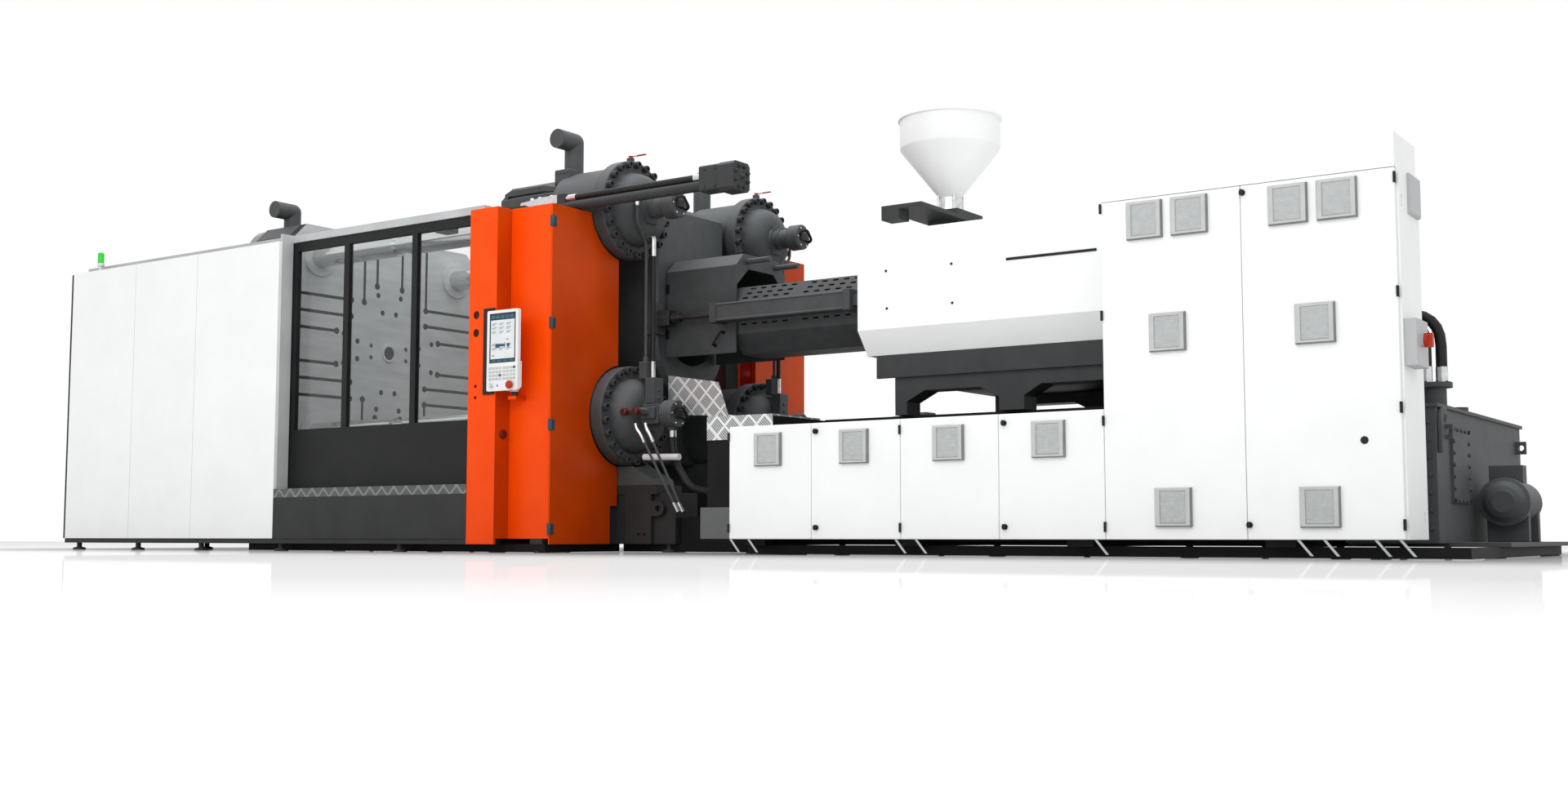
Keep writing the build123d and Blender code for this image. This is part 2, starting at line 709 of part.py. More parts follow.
def moving_platen():
    """Moving platen: cast block with T-slots, bushes, shoes, back ribs and bollards."""
    body = platen_outline(MOVING_REAR_X, MOVING_FACE_X)
    back = [
        block(MOVING_REAR_X - 10, MOVING_REAR_X + 200, -620, 620, 1150, 2470),
    ]
    body -= joined(back)
    ribs = [
        block(MOVING_REAR_X, MOVING_REAR_X + 210, -620, 620, AXIS_Z - 330, AXIS_Z - 250),
        block(MOVING_REAR_X, MOVING_REAR_X + 210, -620, 620, AXIS_Z + 250, AXIS_Z + 330),
        block(MOVING_REAR_X, MOVING_REAR_X + 210, -380, -300, 1150, 2470),
        block(MOVING_REAR_X, MOVING_REAR_X + 210, 300, 380, 1150, 2470),
    ]
    shoes = []
    for side in (-1, 1):
        y = side * sum(BEAM_Y) / 2
        shoes.append(block(MOVING_REAR_X - 100, MOVING_FACE_X + 60, y - 85, y + 85,
                           WAY_TOP + RUN_GAP, PLATEN_BOTTOM + 1))
    bushes = [bar_x(MOVING_FACE_X - 1, MOVING_FACE_X + BUSH_THICK, y, z, BUSH_R) for y, z in TIE_CENTRES]
    ring = bar_x(MOVING_FACE_X - 1, MOVING_FACE_X + 12, 0, AXIS_Z, LOCATING_R + 20)
    solid = joined([body, *ribs, *shoes, *bushes, ring, *bollards(MOVING_REAR_X + MOVING_BOLLARD_IN, MOVING_BOLLARD_RISE)])
    cuts = slot_cutter(MOVING_FACE_X, -1)
    for y, z in TIE_CENTRES:
        cuts.append(bar_x(MOVING_REAR_X - 20, MOVING_FACE_X + 60, y, z, TIE_R + FIT_GAP))
    for y, z in mould_holes():
        cuts.append(bar_x(MOVING_FACE_X - HOLE_DEPTH, MOVING_FACE_X + 5, y, AXIS_Z + z, MOULD_HOLE_R))
    for y in (-EJECTOR_OFFSET_Y, EJECTOR_OFFSET_Y):
        for z in (-EJECTOR_OFFSET_Z, EJECTOR_OFFSET_Z):
            cuts.append(bar_x(MOVING_REAR_X - 5, MOVING_FACE_X + 5, y, AXIS_Z + z,
                              EJECTOR_ROD_R + FIT_GAP))
    cuts.append(bar_x(MOVING_FACE_X - 60, MOVING_FACE_X + 20, 0, AXIS_Z, LOCATING_R))
    solid -= joined(cuts)
    return solid


def bollards(x, rise):
    """Two lifting stubs on top of a platen: a neck rises from it and bends out to each side."""
    stubs = []
    for side in (-1, 1):
        y = side * TIE_SPACING_Y / 2
        top = PLATEN_TOP + rise
        neck = bar_z(PLATEN_TOP - 5, top, x, y, BOLLARD_R)
        knee = Pos(x, y, top) * Sphere(BOLLARD_R)
        y0, y1 = sorted((y, y + side * BOLLARD_REACH))
        stubs.append(joined([neck, knee, bar_y(y0, y1, x, top, BOLLARD_R)]))
    return stubs


def ejector_plate():
    """Ejector plate behind the moving platen with its four push rods and centre rod."""
    x1 = MOVING_REAR_X - 250
    plate = block(x1 - EJECTOR_PLATE_THICK, x1, -290, 290, AXIS_Z - 130, AXIS_Z + 130)
    rods = []
    for y in (-EJECTOR_OFFSET_Y, EJECTOR_OFFSET_Y):
        for z in (-EJECTOR_OFFSET_Z, EJECTOR_OFFSET_Z):
            rods.append(bar_x(x1, MOVING_FACE_X - 20, y, AXIS_Z + z, EJECTOR_ROD_R))
    return joined([plate, *rods])


def lock_nut_halves(side):
    """Half nuts on one side (1 above, -1 below) of all four tie bars, at rest drawn back."""
    halves = []
    ring_r = TIE_R + 4
    for y, z in TIE_CENTRES:
        ring = bar_x(LOCK_X[0], LOCK_X[1], y, z, LOCK_R)
        ring -= bar_x(LOCK_X[0] - 1, LOCK_X[1] + 1, y, z, ring_r)
        tooth = bar_x(LOCK_CENTRE_X - LOCK_TOOTH_WIDTH / 2, LOCK_CENTRE_X + LOCK_TOOTH_WIDTH / 2, y, z, ring_r + 2)
        tooth -= bar_x(LOCK_X[0], LOCK_X[1], y, z, TIE_R - LOCK_TOOTH + 4)
        ring = ring + tooth
        keep = block(LOCK_X[0] - 1, LOCK_X[1] + 1, y - LOCK_R, y + LOCK_R, z + side * 2, z + side * LOCK_R)
        halves.append(Pos(0, 0, side * LOCK_TRAVEL) * (ring & keep))
    return halves


def yoke(side):
    """Beam that ties the upper (1) or lower (-1) halves of two neighbouring nuts together."""
    z_in = LOCK_R * 0.8 + LOCK_TRAVEL
    beams = []
    for level in (UPPER_Z, LOWER_Z):
        z0, z1 = sorted((level + side * (z_in - 60), level + side * (z_in + 40)))
        beams.append(block(LOCK_X[0] + 20, LOCK_X[1] - 20, -TIE_SPACING_Y / 2, TIE_SPACING_Y / 2, z0, z1))
    return beams


def lock_nuts(side):
    """Upper or lower half nuts with their yokes."""
    return joined(lock_nut_halves(side) + yoke(side))


def tie_bars():
    """Four tie bars with their pistons and the grooves that the lock nuts grip."""
    bars = []
    piston_x = FLANGE_REAR_X - PISTON_LENGTH - PISTON_STROKE - 30
    for y, z in TIE_CENTRES:
        bar = bar_x(TIE_LEFT_X, piston_x + 5, y, z, TIE_R)
        for x in (LOCK_CENTRE_X, LOCK_CENTRE_X + OPENING_STROKE):
            half = LOCK_TOOTH_WIDTH / 2 + PISTON_STROKE + LOCK_GROOVE_GAP
            neck = bar_x(x - half, x + half, y, z, TIE_R + 1)
            neck -= bar_x(x - half - 1, x + half + 1, y, z, TIE_R - LOCK_TOOTH)
            bar -= neck
        piston = bar_x(piston_x, piston_x + PISTON_LENGTH, y, z, PISTON_R)
        bars.append(bar + piston)
    return bars


def fixed_platen():
    """Fixed platen: block with T-slots, dished hub for the nozzle, webs and feet."""
    body = platen_outline(FIXED_FACE_X, FIXED_REAR_X)
    w = HUB_HALF_WIDTH
    hub = block(FIXED_REAR_X - 5, HUB_END_X, -w, w, HUB_ROUND_Z, HUB_TOP)
    hub += bar_x(FIXED_REAR_X - 5, HUB_END_X, 0, HUB_ROUND_Z, w)
    hub = chamfer(hub.faces().sort_by(Axis.X)[-1].edges(), 36)
    feet = []
    for side in (-1, 1):
        y0, y1 = sorted((side * PLATEN_HALF_WIDTH, side * 640))
        feet.append(prism_y(
            [(FIXED_FACE_X, PEDESTAL_TOP), (DOOR_PLANE_X - 25, PEDESTAL_TOP), (DOOR_PLANE_X - 25, 720),
             (-500, 960), (FIXED_REAR_X - 5, 1200), (FIXED_FACE_X, 900)],
            y0, y1,
        ))
        y0, y1 = sorted((side * -PEDESTAL_FRONT_Y, side * 640))
        feet.append(prism_y(
            [(-400, PEDESTAL_TOP), (PEDESTAL_END_X - 170, PEDESTAL_TOP), (PEDESTAL_END_X - 190, 545),
             (20, 600), (-160, 700), (-400, 900)],
            y0, y1,
        ))
    lugs = [block(HUB_END_X - 100, CLEVIS_X[0], side * CARRIAGE_Y - 55, side * CARRIAGE_Y + 55, *CLEVIS_PLATE_Z)
            for side in (-1, 1)]
    guides = [bar_x(HUB_END_X - 100, GUIDE_BAR_END_X, y, GUIDE_BAR_Z, GUIDE_BAR_R)
              for y in (-GUIDE_BAR_Y, GUIDE_BAR_Y)]
    stubs = bollards(FIXED_REAR_X - FIXED_BOLLARD_IN, FIXED_BOLLARD_RISE)
    solid = joined([body, hub, *feet, *lugs, *guides, *stubs])
    cuts = slot_cutter(FIXED_FACE_X, 1)
    for y, z in TIE_CENTRES:
        cuts.append(bar_x(FIXED_FACE_X - 10, FIXED_REAR_X + 5, y, z, TIE_R + FIT_GAP))
        cuts.append(bar_x(FIXED_REAR_X, 200, y, z, CYLINDER_R + RUN_GAP))
        cuts.append(bar_x(FLANGE_REAR_X - 35, 200, y, z, FLANGE_R + 8))
    cuts.append(bar_x(FIXED_FACE_X - 5, 0, 0, AXIS_Z, NOZZLE_R + 30))
    cuts.append(
        turned_x([(-700, 0), (-700, BARREL_R + 60), (HUB_END_X, HUB_MOUTH_R), (HUB_END_X + 100, HUB_MOUTH_R),
                  (HUB_END_X + 100, 0)], 0, AXIS_Z)
    )
    cuts.append(bar_x(FIXED_FACE_X - 5, FIXED_FACE_X + 60, 0, AXIS_Z, LOCATING_R))
    solid -= joined(cuts)
    return solid


# Clamp cylinders

def clamp_cylinder(y, z):
    """Hydraulic cylinder barrel with its screw flange."""
    outer = turned_x(
        [(FIXED_REAR_X, 0), (FIXED_REAR_X, CYLINDER_R), (FLANGE_REAR_X - 30, CYLINDER_R),
         (FLANGE_REAR_X, FLANGE_R), (FLANGE_FRONT_X, FLANGE_R), (FLANGE_FRONT_X, 0)],
        y, z,
    )
    bore = bar_x(FIXED_REAR_X - 1, FLANGE_FRONT_X + 1, y, z, PISTON_R + FIT_GAP)
    return outer - bore


def cylinder_cover(y, z):
    """Domed end cover of a clamp cylinder with its stroke sensor housing."""
    x = FLANGE_FRONT_X
    profile = [
        (FLANGE_REAR_X, 0), (FLANGE_REAR_X, PISTON_R - 0.25), (x, PISTON_R - 0.25), (x, DOME_R),
        (x + DOME_HEIGHT * 0.55, DOME_R - 12), (x + DOME_HEIGHT * 0.86, DOME_R - 55),
        (x + DOME_HEIGHT, DOME_R - 120), (x + DOME_HEIGHT, SENSOR_R),
        (x + DOME_HEIGHT + SENSOR_LENGTH, SENSOR_R), (x + DOME_HEIGHT + SENSOR_LENGTH, SENSOR_CAP_R),
        (x + DOME_HEIGHT + SENSOR_LENGTH + SENSOR_CAP_LENGTH, SENSOR_CAP_R - 6),
        (x + DOME_HEIGHT + SENSOR_LENGTH + SENSOR_CAP_LENGTH, 0),
    ]
    cover = turned_x(profile, y, z)
    end = x + DOME_HEIGHT + SENSOR_LENGTH + SENSOR_CAP_LENGTH
    port = block(end - 5, end + 70, y - 45, y + 45, z - 32, z + 32)
    if z < AXIS_Z:
        union = bar_z(SUPPLY_TOP, z - SENSOR_R, SUPPLY_X, y, SUPPLY_R + 8)
        return joined([cover, port, union])
    out = math.copysign(PIPE_TOP[1], y)
    drain = bar_x(x, PORT_END, y, z - HOSE_DROP, PORT_R)
    feed = bar_x(x, x + DOME_HEIGHT, y + out, PIPE_TOP[2] + PORT_R, PORT_R)
    return joined([cover, port, drain, feed])


def clamp_screws():
    """Socket screws round the four cylinder flanges."""
    screws = []
    for y, z in TIE_CENTRES:
        for index in range(SCREW_COUNT):
            angle = 2 * math.pi * (index + 0.5) / SCREW_COUNT
            screws.append(
                bar_x(FLANGE_FRONT_X, FLANGE_FRONT_X + SCREW_HEAD_HEIGHT,
                      y + SCREW_CIRCLE_R * math.cos(angle), z + SCREW_CIRCLE_R * math.sin(angle),
                      SCREW_HEAD_R)
            )
    return screws


def bleed_lever(y):
    """Valve lever on top of an upper clamp cylinder, lying along the cylinder."""
    x, z = FLANGE_REAR_X + 50, UPPER_Z + FLANGE_R + 34
    hub = bar_z(z, z + 16, x, y, 16)
    grip = block(x - 8, x + 150, y - 9, y + 9, z + 6, z + 14)
    return hub + grip


def valve_stub(y):
    """Ball valve under the lever, screwed into the flange."""
    x, z = FLANGE_REAR_X + 50, UPPER_Z + FLANGE_R
    stub = block(x - 24, x + 24, y - 20, y + 20, z - 10, z + 34 - RUN_GAP)
    return stub - bar_x(x - 30, x + 30, y, UPPER_Z, FLANGE_R + RUN_GAP)


# Traverse cylinders

def traverse_barrel():
    """Long cylinder that opens and closes the platen, with its heads, foot and hose."""
    y, z = -TRAVERSE_Y, TRAVERSE_Z
    left = TRAVERSE_LEFT_X
    cap = TRAVERSE_RIGHT_X - TRAVERSE_STUD
    middle = cap - TRAVERSE_END_HEAD
    head = middle - TRAVERSE_HEAD
    end_block = block(middle, cap, y - 95, y + 95, z - 78, z + 124)
    end_block = chamfer(end_block.edges().filter_by(Axis.X), 22)
    parts = [
        bar_x(left + 60, head + 5, y, z, TRAVERSE_R),
        block(left, left + 130, y - 62, y + 62, z - 62, z + 62),
        chamfer(block(head, middle, y - 70, y + 70, z - 56, z + 124).edges().filter_by(Axis.X), 10),
        end_block,
        block(TRAVERSE_UNION_X - 80, TRAVERSE_UNION_X, y - 30, y + 30, z + 15, z + 96),
        turned_x([(cap - 5, 0), (cap - 5, 22), (cap, 22), (TRAVERSE_RIGHT_X, 4), (TRAVERSE_RIGHT_X, 0)],
                 y, z + 23),
        block(FIXED_FACE_X + 80, FIXED_REAR_X - 80, y - 60, -PLATEN_HALF_WIDTH, z - 46, z + 46),
    ]
    solid = joined(parts)
    solid -= bar_x(left - 1, head - 30, y, z, TRAVERSE_BORE)
    return solid


def traverse_rod():
    """Chrome rod of the traverse cylinder with its piston, fixed to the moving platen."""
    y, z = -TRAVERSE_Y, TRAVERSE_Z
    left = MOVING_FACE_X - 300
    rod = bar_x(left, TRAVERSE_LEFT_X + 100, y, z, TRAVERSE_ROD_R)
    piston = bar_x(TRAVERSE_LEFT_X + 20, TRAVERSE_LEFT_X + 100, y, z, TRAVERSE_BORE - FIT_GAP)
    lug = block(left - 60, left + 60, y - 55, -PLATEN_HALF_WIDTH, z - 55, z + 55)
    return joined([rod, piston, lug])


def diagonal(shape):
    """The shape above the front side and its twin below the rear side of the machine axis."""
    return [shape, Pos(0, 0, AXIS_Z) * Rot(180, 0, 0) * Pos(0, 0, -AXIS_Z) * shape]


# Safety doors

def door_frame(left, right):
    """Welded door frame with its mullions and the solid lower panel."""
    top = COVER_TOP
    frame = block(left, right, DOOR_FRONT_Y, DOOR_REAR_Y, DOOR_BOTTOM, top)
    edges = [left + DOOR_FRAME]
    for x in MULLIONS_X:
        edges += [x - MULLION_WIDTH / 2, x + MULLION_WIDTH / 2]
    edges.append(right - DOOR_FRAME)
    for start, end in zip(edges[::2], edges[1::2]):
        frame -= block(start, end, DOOR_FRONT_Y - 1, DOOR_REAR_Y + 1, WINDOW_BOTTOM, top - DOOR_FRAME)
    frame -= block(left + DOOR_FRAME, right - DOOR_FRAME, DOOR_FRONT_Y + 12, DOOR_REAR_Y + 1,
                   DOOR_BOTTOM + 60, WINDOW_BOTTOM - 60)
    inset = TRACK_INSET + RUN_GAP
    hangers = [block(x, x + 120, DOOR_FRONT_Y + inset, DOOR_REAR_Y - inset, top - 1, top + 22)
               for x in (left + 200, right - 320)]
    return joined([frame, *hangers])


def door_panes(left, right):
    """Clear panes in the door, behind the mullions' front faces."""
    top = COVER_TOP
    edges = [left + DOOR_FRAME]
    for x in MULLIONS_X:
        edges += [x - MULLION_WIDTH / 2, x + MULLION_WIDTH / 2]
    edges.append(right - DOOR_FRAME)
    middle = (DOOR_FRONT_Y + DOOR_REAR_Y) / 2
    return [
        block(start, end, middle - PANE_THICK / 2, middle + PANE_THICK / 2, WINDOW_BOTTOM, top - DOOR_FRAME)
        for start, end in zip(edges[::2], edges[1::2])
    ]


def rear_gate(left, right):
    """Plain sheet gate on the rear side with folded edges and two stiffeners."""
    gate = block(left, right, -DOOR_REAR_Y, -DOOR_FRONT_Y, DOOR_BOTTOM, COVER_TOP)
    gate -= block(left + 40, right - 40, -DOOR_REAR_Y - 1, -DOOR_FRONT_Y - 4, DOOR_BOTTOM + 40, COVER_TOP - 40)
    ribs = [block(x, x + 50, -DOOR_REAR_Y, -DOOR_FRONT_Y, DOOR_BOTTOM + 20, COVER_TOP - 20)
            for x in MULLIONS_X]
    inset = TRACK_INSET + RUN_GAP
    hangers = [block(x, x + 120, -DOOR_REAR_Y + inset, -DOOR_FRONT_Y - inset, COVER_TOP - 1, COVER_TOP + 22)
               for x in (left + 200, right - 320)]
    return joined([gate, *ribs, *hangers])


# Control panel

def control_housing():
    """Rounded housing of the control panel with its rear hump and swivel sleeve."""
    x0, x1 = PANEL_X
    z0, z1 = PANEL_Z
    front = block(x0, x1, PANEL_FRONT_Y, PANEL_FRONT_Y + PANEL_THICK, z0, z1)
    front = fillet(front.edges().filter_by(Axis.Y), PANEL_CORNER)
    hump = block(x0 + 75, x1 - 10, PANEL_FRONT_Y + PANEL_THICK, PANEL_FRONT_Y + PANEL_THICK + 45, z0 + 20, z0 + 210)
    hump = chamfer(hump.edges().filter_by(Axis.Z).group_by(Axis.X)[-1], 20)
    screen = block(x0 + 24, x1 - 24, PANEL_FRONT_Y - 1, PANEL_FRONT_Y + 3, z1 - 385, z1 - 22)
    solid = (front + hump) - screen
    hx, hy = PANEL_PIVOT
    sleeve = bar_z(z0 - 34, z0 + 10, hx, hy, 24)
    solid += sleeve
    solid += block(hx - 24, hx + 24, PANEL_FRONT_Y + 20, hy, z0, z0 + 10)
    solid -= bar_z(z0 - 60, z0 - 4, hx, hy, 14 + FIT_GAP)
    for x, radius in zip(PANEL_BUTTONS_X, (10, 10, 16)):
        solid -= bar_y(PANEL_FRONT_Y - 1, PANEL_FRONT_Y + 30, x, z0 + 38, radius + 0.3)
    return solid


def panel_bracket():
    """Black bracket that carries the control panel on the column."""
    hx, hy = PANEL_PIVOT
    z = PANEL_Z[0] - 34 - RUN_GAP
    arm = block(hx - 40, hx + 40, hy - 28, COLUMN_DOOR_Y, z - 26, z)
    pin = bar_z(z - 5, PANEL_Z[0] - 6, hx, hy, 14)
    return arm + pin


def emergency_stop():
    """Mushroom button with its stem."""
    z = PANEL_Z[0] + 38
    x = PANEL_BUTTONS_X[2]
    y = PANEL_FRONT_Y
    profile = [(0, -34), (24, -34), (30, -26), (30, -18), (16, -12), (16, 20), (0, 20)]
    return Pos(x, y, z) * revolve(Plane.XY * Polygon(*profile, align=None), Axis.Y)


def mode_selector():
    """Rotary mode selector with its lever."""
    x, z = PANEL_BUTTONS_X[0], PANEL_Z[0] + 38
    y = PANEL_FRONT_Y
    body = bar_y(y - 12, y + 20, x, z, 10)
    lever = block(x - 6, x + 6, y - 26, y - 12, z - 18, z + 18)
    return body + lever


# Cabinets

def filter_block(x, z_top, y_face):
    """Bevelled filter housing on a front, its top left corner at (x, z_top)."""
    w, h, d = FILTER_WIDTH, FILTER_HEIGHT, FILTER_PROUD
    body = block(x, x + w, y_face - d, y_face, z_top - h, z_top)
    return chamfer(body.faces().sort_by(Axis.Y)[0].edges(), FILTER_BEVEL)


def cabinet_door(left, right, z0, z1, filters, locks=()):
    """Sheet steel door; filters lists (left edge, top) and locks (x, z) of the lock holes."""
    front = -HALF_WIDTH
    door = block(left + DOOR_GAP / 2, right - DOOR_GAP / 2, front, front + DOOR_SKIN, z0, z1)
    door = joined([door, *[filter_block(x, z, front) for x, z in filters]])
    for x, z in locks:
        door -= bar_y(front - 1, front + DOOR_SKIN + 1, x, z, KNOB_SHAFT_R + FIT_GAP)
    return door


def knob(x, z):
    """Quarter-turn lock with its wing and the shaft through the door."""
    front = -HALF_WIDTH
    body = bar_y(front - KNOB_HEIGHT * 0.5, front - RUN_GAP, x, z, KNOB_R)
    wing = block(x - KNOB_R * 0.5, x + KNOB_R * 0.5, front - KNOB_HEIGHT, front - KNOB_HEIGHT * 0.4,
                 z - KNOB_R, z + KNOB_R)
    shaft = bar_y(front - 5, front + DOOR_SKIN + 8, x, z, KNOB_SHAFT_R)
    cam = block(x - 8, x + 8, front + DOOR_SKIN + 1, front + DOOR_SKIN + 8, z - 30, z + 8)
    return joined([body, wing, shaft, cam])


def lower_seams():
    """Door edges of the lower cabinets along X."""
    edges = [CABINET_X]
    for width in LOWER_DOOR_WIDTHS:
        edges.append(edges[-1] + width)
    return edges


def placed(insets, left):
    """Positions measured from a left edge, as (x, z) of the machine."""
    return [(left + inset, z) for inset, z in insets]


def lower_cabinet():
    """Open-fronted white cabinet under the injection unit, split into four bays."""
    y0 = -HALF_WIDTH + DOOR_SKIN + DOOR_GAP
    y1 = -HALF_WIDTH + LOWER_DEPTH
    body = block(CABINET_X, LOWER_END_X, y0, y1, COVER_BASE, LOWER_TOP)
    seams = lower_seams()
    for left, right in zip(seams[::2], seams[2::2]):
        body -= block(left + 40, right - 40, y0 - 1, y1 - 20, COVER_BASE + 30, LOWER_TOP - 40)
    return body


def electric_cabinet():
    """Tall open-fronted cabinet with a fixed fascia above the doors."""
    y0 = -HALF_WIDTH + DOOR_SKIN + DOOR_GAP
    y1 = -HALF_WIDTH + ELECTRIC_DEPTH
    body = block(LOWER_END_X, ELECTRIC_END_X, y0, y1, COVER_BASE, ELECTRIC_TOP)
    body -= block(LOWER_END_X + 50, ELECTRIC_END_X - 50, y0 - 1, y1 - 20, COVER_BASE + 40,
                  ELECTRIC_DOOR_TOP - 20)
    fascia = block(LOWER_END_X, ELECTRIC_END_X, -HALF_WIDTH, y0, ELECTRIC_DOOR_TOP + DOOR_GAP, ELECTRIC_TOP)
    side = block(ELECTRIC_END_X, END_PANEL_X, y0 + 2, y1 - 3, COVER_BASE, ELECTRIC_DOOR_TOP + 16)
    for inset, z in END_SLOTS:
        y = inset - HALF_WIDTH
        side -= block(ELECTRIC_END_X - 1, END_PANEL_X + 1, y - 12, y + 12, z - 30, z + 30)
    y, z = END_FILTER[0] - HALF_WIDTH, END_FILTER[1]
    vent = block(END_PANEL_X, END_PANEL_X + 20, y, y + FILTER_WIDTH, z - FILTER_HEIGHT, z)
    vent = chamfer(vent.faces().sort_by(Axis.X)[-1].edges(), FILTER_BEVEL)
    return joined([body, fascia, side, vent])


def cabinet_hinges():
    """Black hinge blocks of all the cabinet doors and of the column's side door."""
    blocks = []
    seams = lower_seams()
    for x in (seams[0], seams[2], seams[4]):
        for z in LOWER_HINGES_Z:
            blocks.append(hinge_block(x, z))
    for z in LEFT_HINGES_Z:
        blocks.append(hinge_block(LOWER_END_X, z))
    for z in RIGHT_HINGES_Z:
        blocks.append(hinge_block(ELECTRIC_END_X, z))
    for z in COLUMN_HINGES_Z:
        blocks.append(column_hinge(z))
    return blocks


def hinge_block(x, z):
    """One hinge: a knuckle before the door gap, on a leaf that reaches the cabinet's frame."""
    front = -HALF_WIDTH
    half = HINGE_HEIGHT / 2
    knuckle = bar_z(z - half, z + half, x, front - HINGE_OFFSET, HINGE_R)
    leaf = block(x - HINGE_LEAF / 2, x + HINGE_LEAF / 2, front - HINGE_OFFSET, front + DOOR_SKIN + DOOR_GAP,
                 z - half, z + half)
    return knuckle + leaf


def column_hinge(z):
    """One hinge of the column's side door, screwed on the column's front sheet."""
    half = COLUMN_HINGE_HEIGHT / 2
    x = DOOR_PLANE_X + 10 + HINGE_OFFSET
    knuckle = bar_z(z - half, z + half, x, COLUMN_DOOR_Y, HINGE_R)
    leaf = block(DOOR_PLANE_X - COLUMN_HINGE_LEAF, x, COLUMN_DOOR_Y - 6, COLUMN_DOOR_Y, z - half, z + half)
    return knuckle + leaf


def main_switch_box():
    """Grey box of the main switch on the end of the electric cabinet."""
    x = END_PANEL_X
    y0, y1 = (inset - HALF_WIDTH for inset in SWITCH_INSET_Y)
    box = block(x, x + SWITCH_BOX_DEPTH, y0, y1, *SWITCH_BOX_Z)
    return box + bar_x(x + SWITCH_BOX_DEPTH, x + SWITCH_BOX_DEPTH + 10, SWITCH_Y, SWITCH_Z, 34)


def main_switch_handle():
    """Red rotary handle of the main switch."""
    x = END_PANEL_X + SWITCH_BOX_DEPTH + 10 + RUN_GAP
    grip = block(x, x + 42, SWITCH_Y - 13, SWITCH_Y + 13, SWITCH_Z - 36, SWITCH_Z + 36)
    return bar_x(x, x + 18, SWITCH_Y, SWITCH_Z, 32) + grip


# Injection unit

def octagon(half, levels, slope_low, slope_high):
    """Section with sloped lower and upper edges, symmetric about the centre plane."""
    z0, z1, z2, z3 = levels
    return [(-half + slope_low, z0), (half - slope_low, z0), (half, z1), (half, z2),
            (half - slope_high, z3), (-half + slope_high, z3), (-half, z2), (-half, z1)]


def injection_carriage():
    """Carriage frame: two side beams with arched feet, cross plates and the barrel support."""
    parts = []
    left, right = PEDESTAL_X
    for side in (-1, 1):
        y0, y1 = sorted((side * 820, side * 640))
        beam = prism_y(
            [(left, RAIL_TOP + RUN_GAP), (left + 90, RAIL_TOP + RUN_GAP), (left + 90, 1020),
             (left + 230, 1090), (left + 640, 1090), (left + 780, 1020), (left + 780, RAIL_TOP + RUN_GAP),
             (left + 960, RAIL_TOP + RUN_GAP), (left + 960, 1020), (left + 1080, 1090),
             (right - 300, 1090), (right - 160, 1020), (right - 160, RAIL_TOP + RUN_GAP),
             (right, RAIL_TOP + RUN_GAP), (right, 1200), (left, 1200)],
            y0, y1,
        )
        parts.append(beam)
    parts.append(block(left, right, -820, 820, 1160, 1200))
    edge = INJECTION_COVER_HALF - INJECTION_COVER_SLOPE
    for side in (-1, 1):
        y0, y1 = sorted((side * edge, side * (edge - 25)))
        parts.append(block(SKIRT_LEFT_X, INJECTION_COVER_X[1] - 60, y0, y1, SKIRT_Z[0] - 16, SKIRT_Z[1]))
        y0, y1 = sorted((side * edge, side * 800))
        parts.append(block(left, right, y0, y1, SKIRT_Z[0] - 16, SKIRT_Z[0]))
    for x, half in ((left + 150, 620), (right - 500, 420)):
        support = block(x, x + 300, -half, half, 1200, 2100)
        support = chamfer(support.edges().filter_by(Axis.X).group_by(Axis.Z)[-1], 120)
        parts.append(support)
    solid = joined(parts)
    solid -= bar_x(left, left + 450 + 1, 0, AXIS_Z, BARREL_R + FIT_GAP)
    solid -= bar_x(right - 501, right - 100, 0, AXIS_Z, 190)
    guides = [bar_x(left + 445, right - 495, y, AXIS_Z, GUIDE_R) for y in (-GUIDE_Y, GUIDE_Y)]
    return joined([solid, *guides])


def barrel():
    """Plasticising barrel with its nozzle, adapter and heater bands."""
    tip = -560
    profile = [
        (tip, 0), (tip, 22), (tip + 30, NOZZLE_R - 8), (tip + 240, NOZZLE_R - 8), (tip + 250, 85),
        (tip + 420, BARREL_R - 20), (tip + 520, BARREL_R - 20), (tip + 520, BARREL_R),
        (PEDESTAL_X[0] + 450, BARREL_R), (PEDESTAL_X[0] + 450, 0),
    ]
    body = turned_x(profile, 0, AXIS_Z)
    bands = [bar_x(x, x + 150, 0, AXIS_Z, BARREL_R + 18) for x in range(120, 1900, 300)]
    body = joined([body, *bands])
    body -= bar_x(tip + 420, PEDESTAL_X[0] + 460, 0, AXIS_Z, BARREL_BORE)
    body -= bar_x(tip - 1, tip + 430, 0, AXIS_Z, 12)
    throat = bar_z(AXIS_Z, AXIS_Z + BARREL_R + 5, HOPPER_X, 0, 45)
    return body - throat


def plasticising_screw():
    """Screw with its tip, root and splined drive end; the flights are left plain."""
    tip = -560 + 430
    end = PEDESTAL_X[0] + 450
    profile = [
        (tip + 10, 0), (tip + 60, BARREL_BORE - 12), (tip + 120, BARREL_BORE - FIT_GAP),
        (end - 200, BARREL_BORE - FIT_GAP), (end - 200, 42), (end + 600, 42), (end + 600, 0),
    ]
    return turned_x(profile, 0, AXIS_Z)


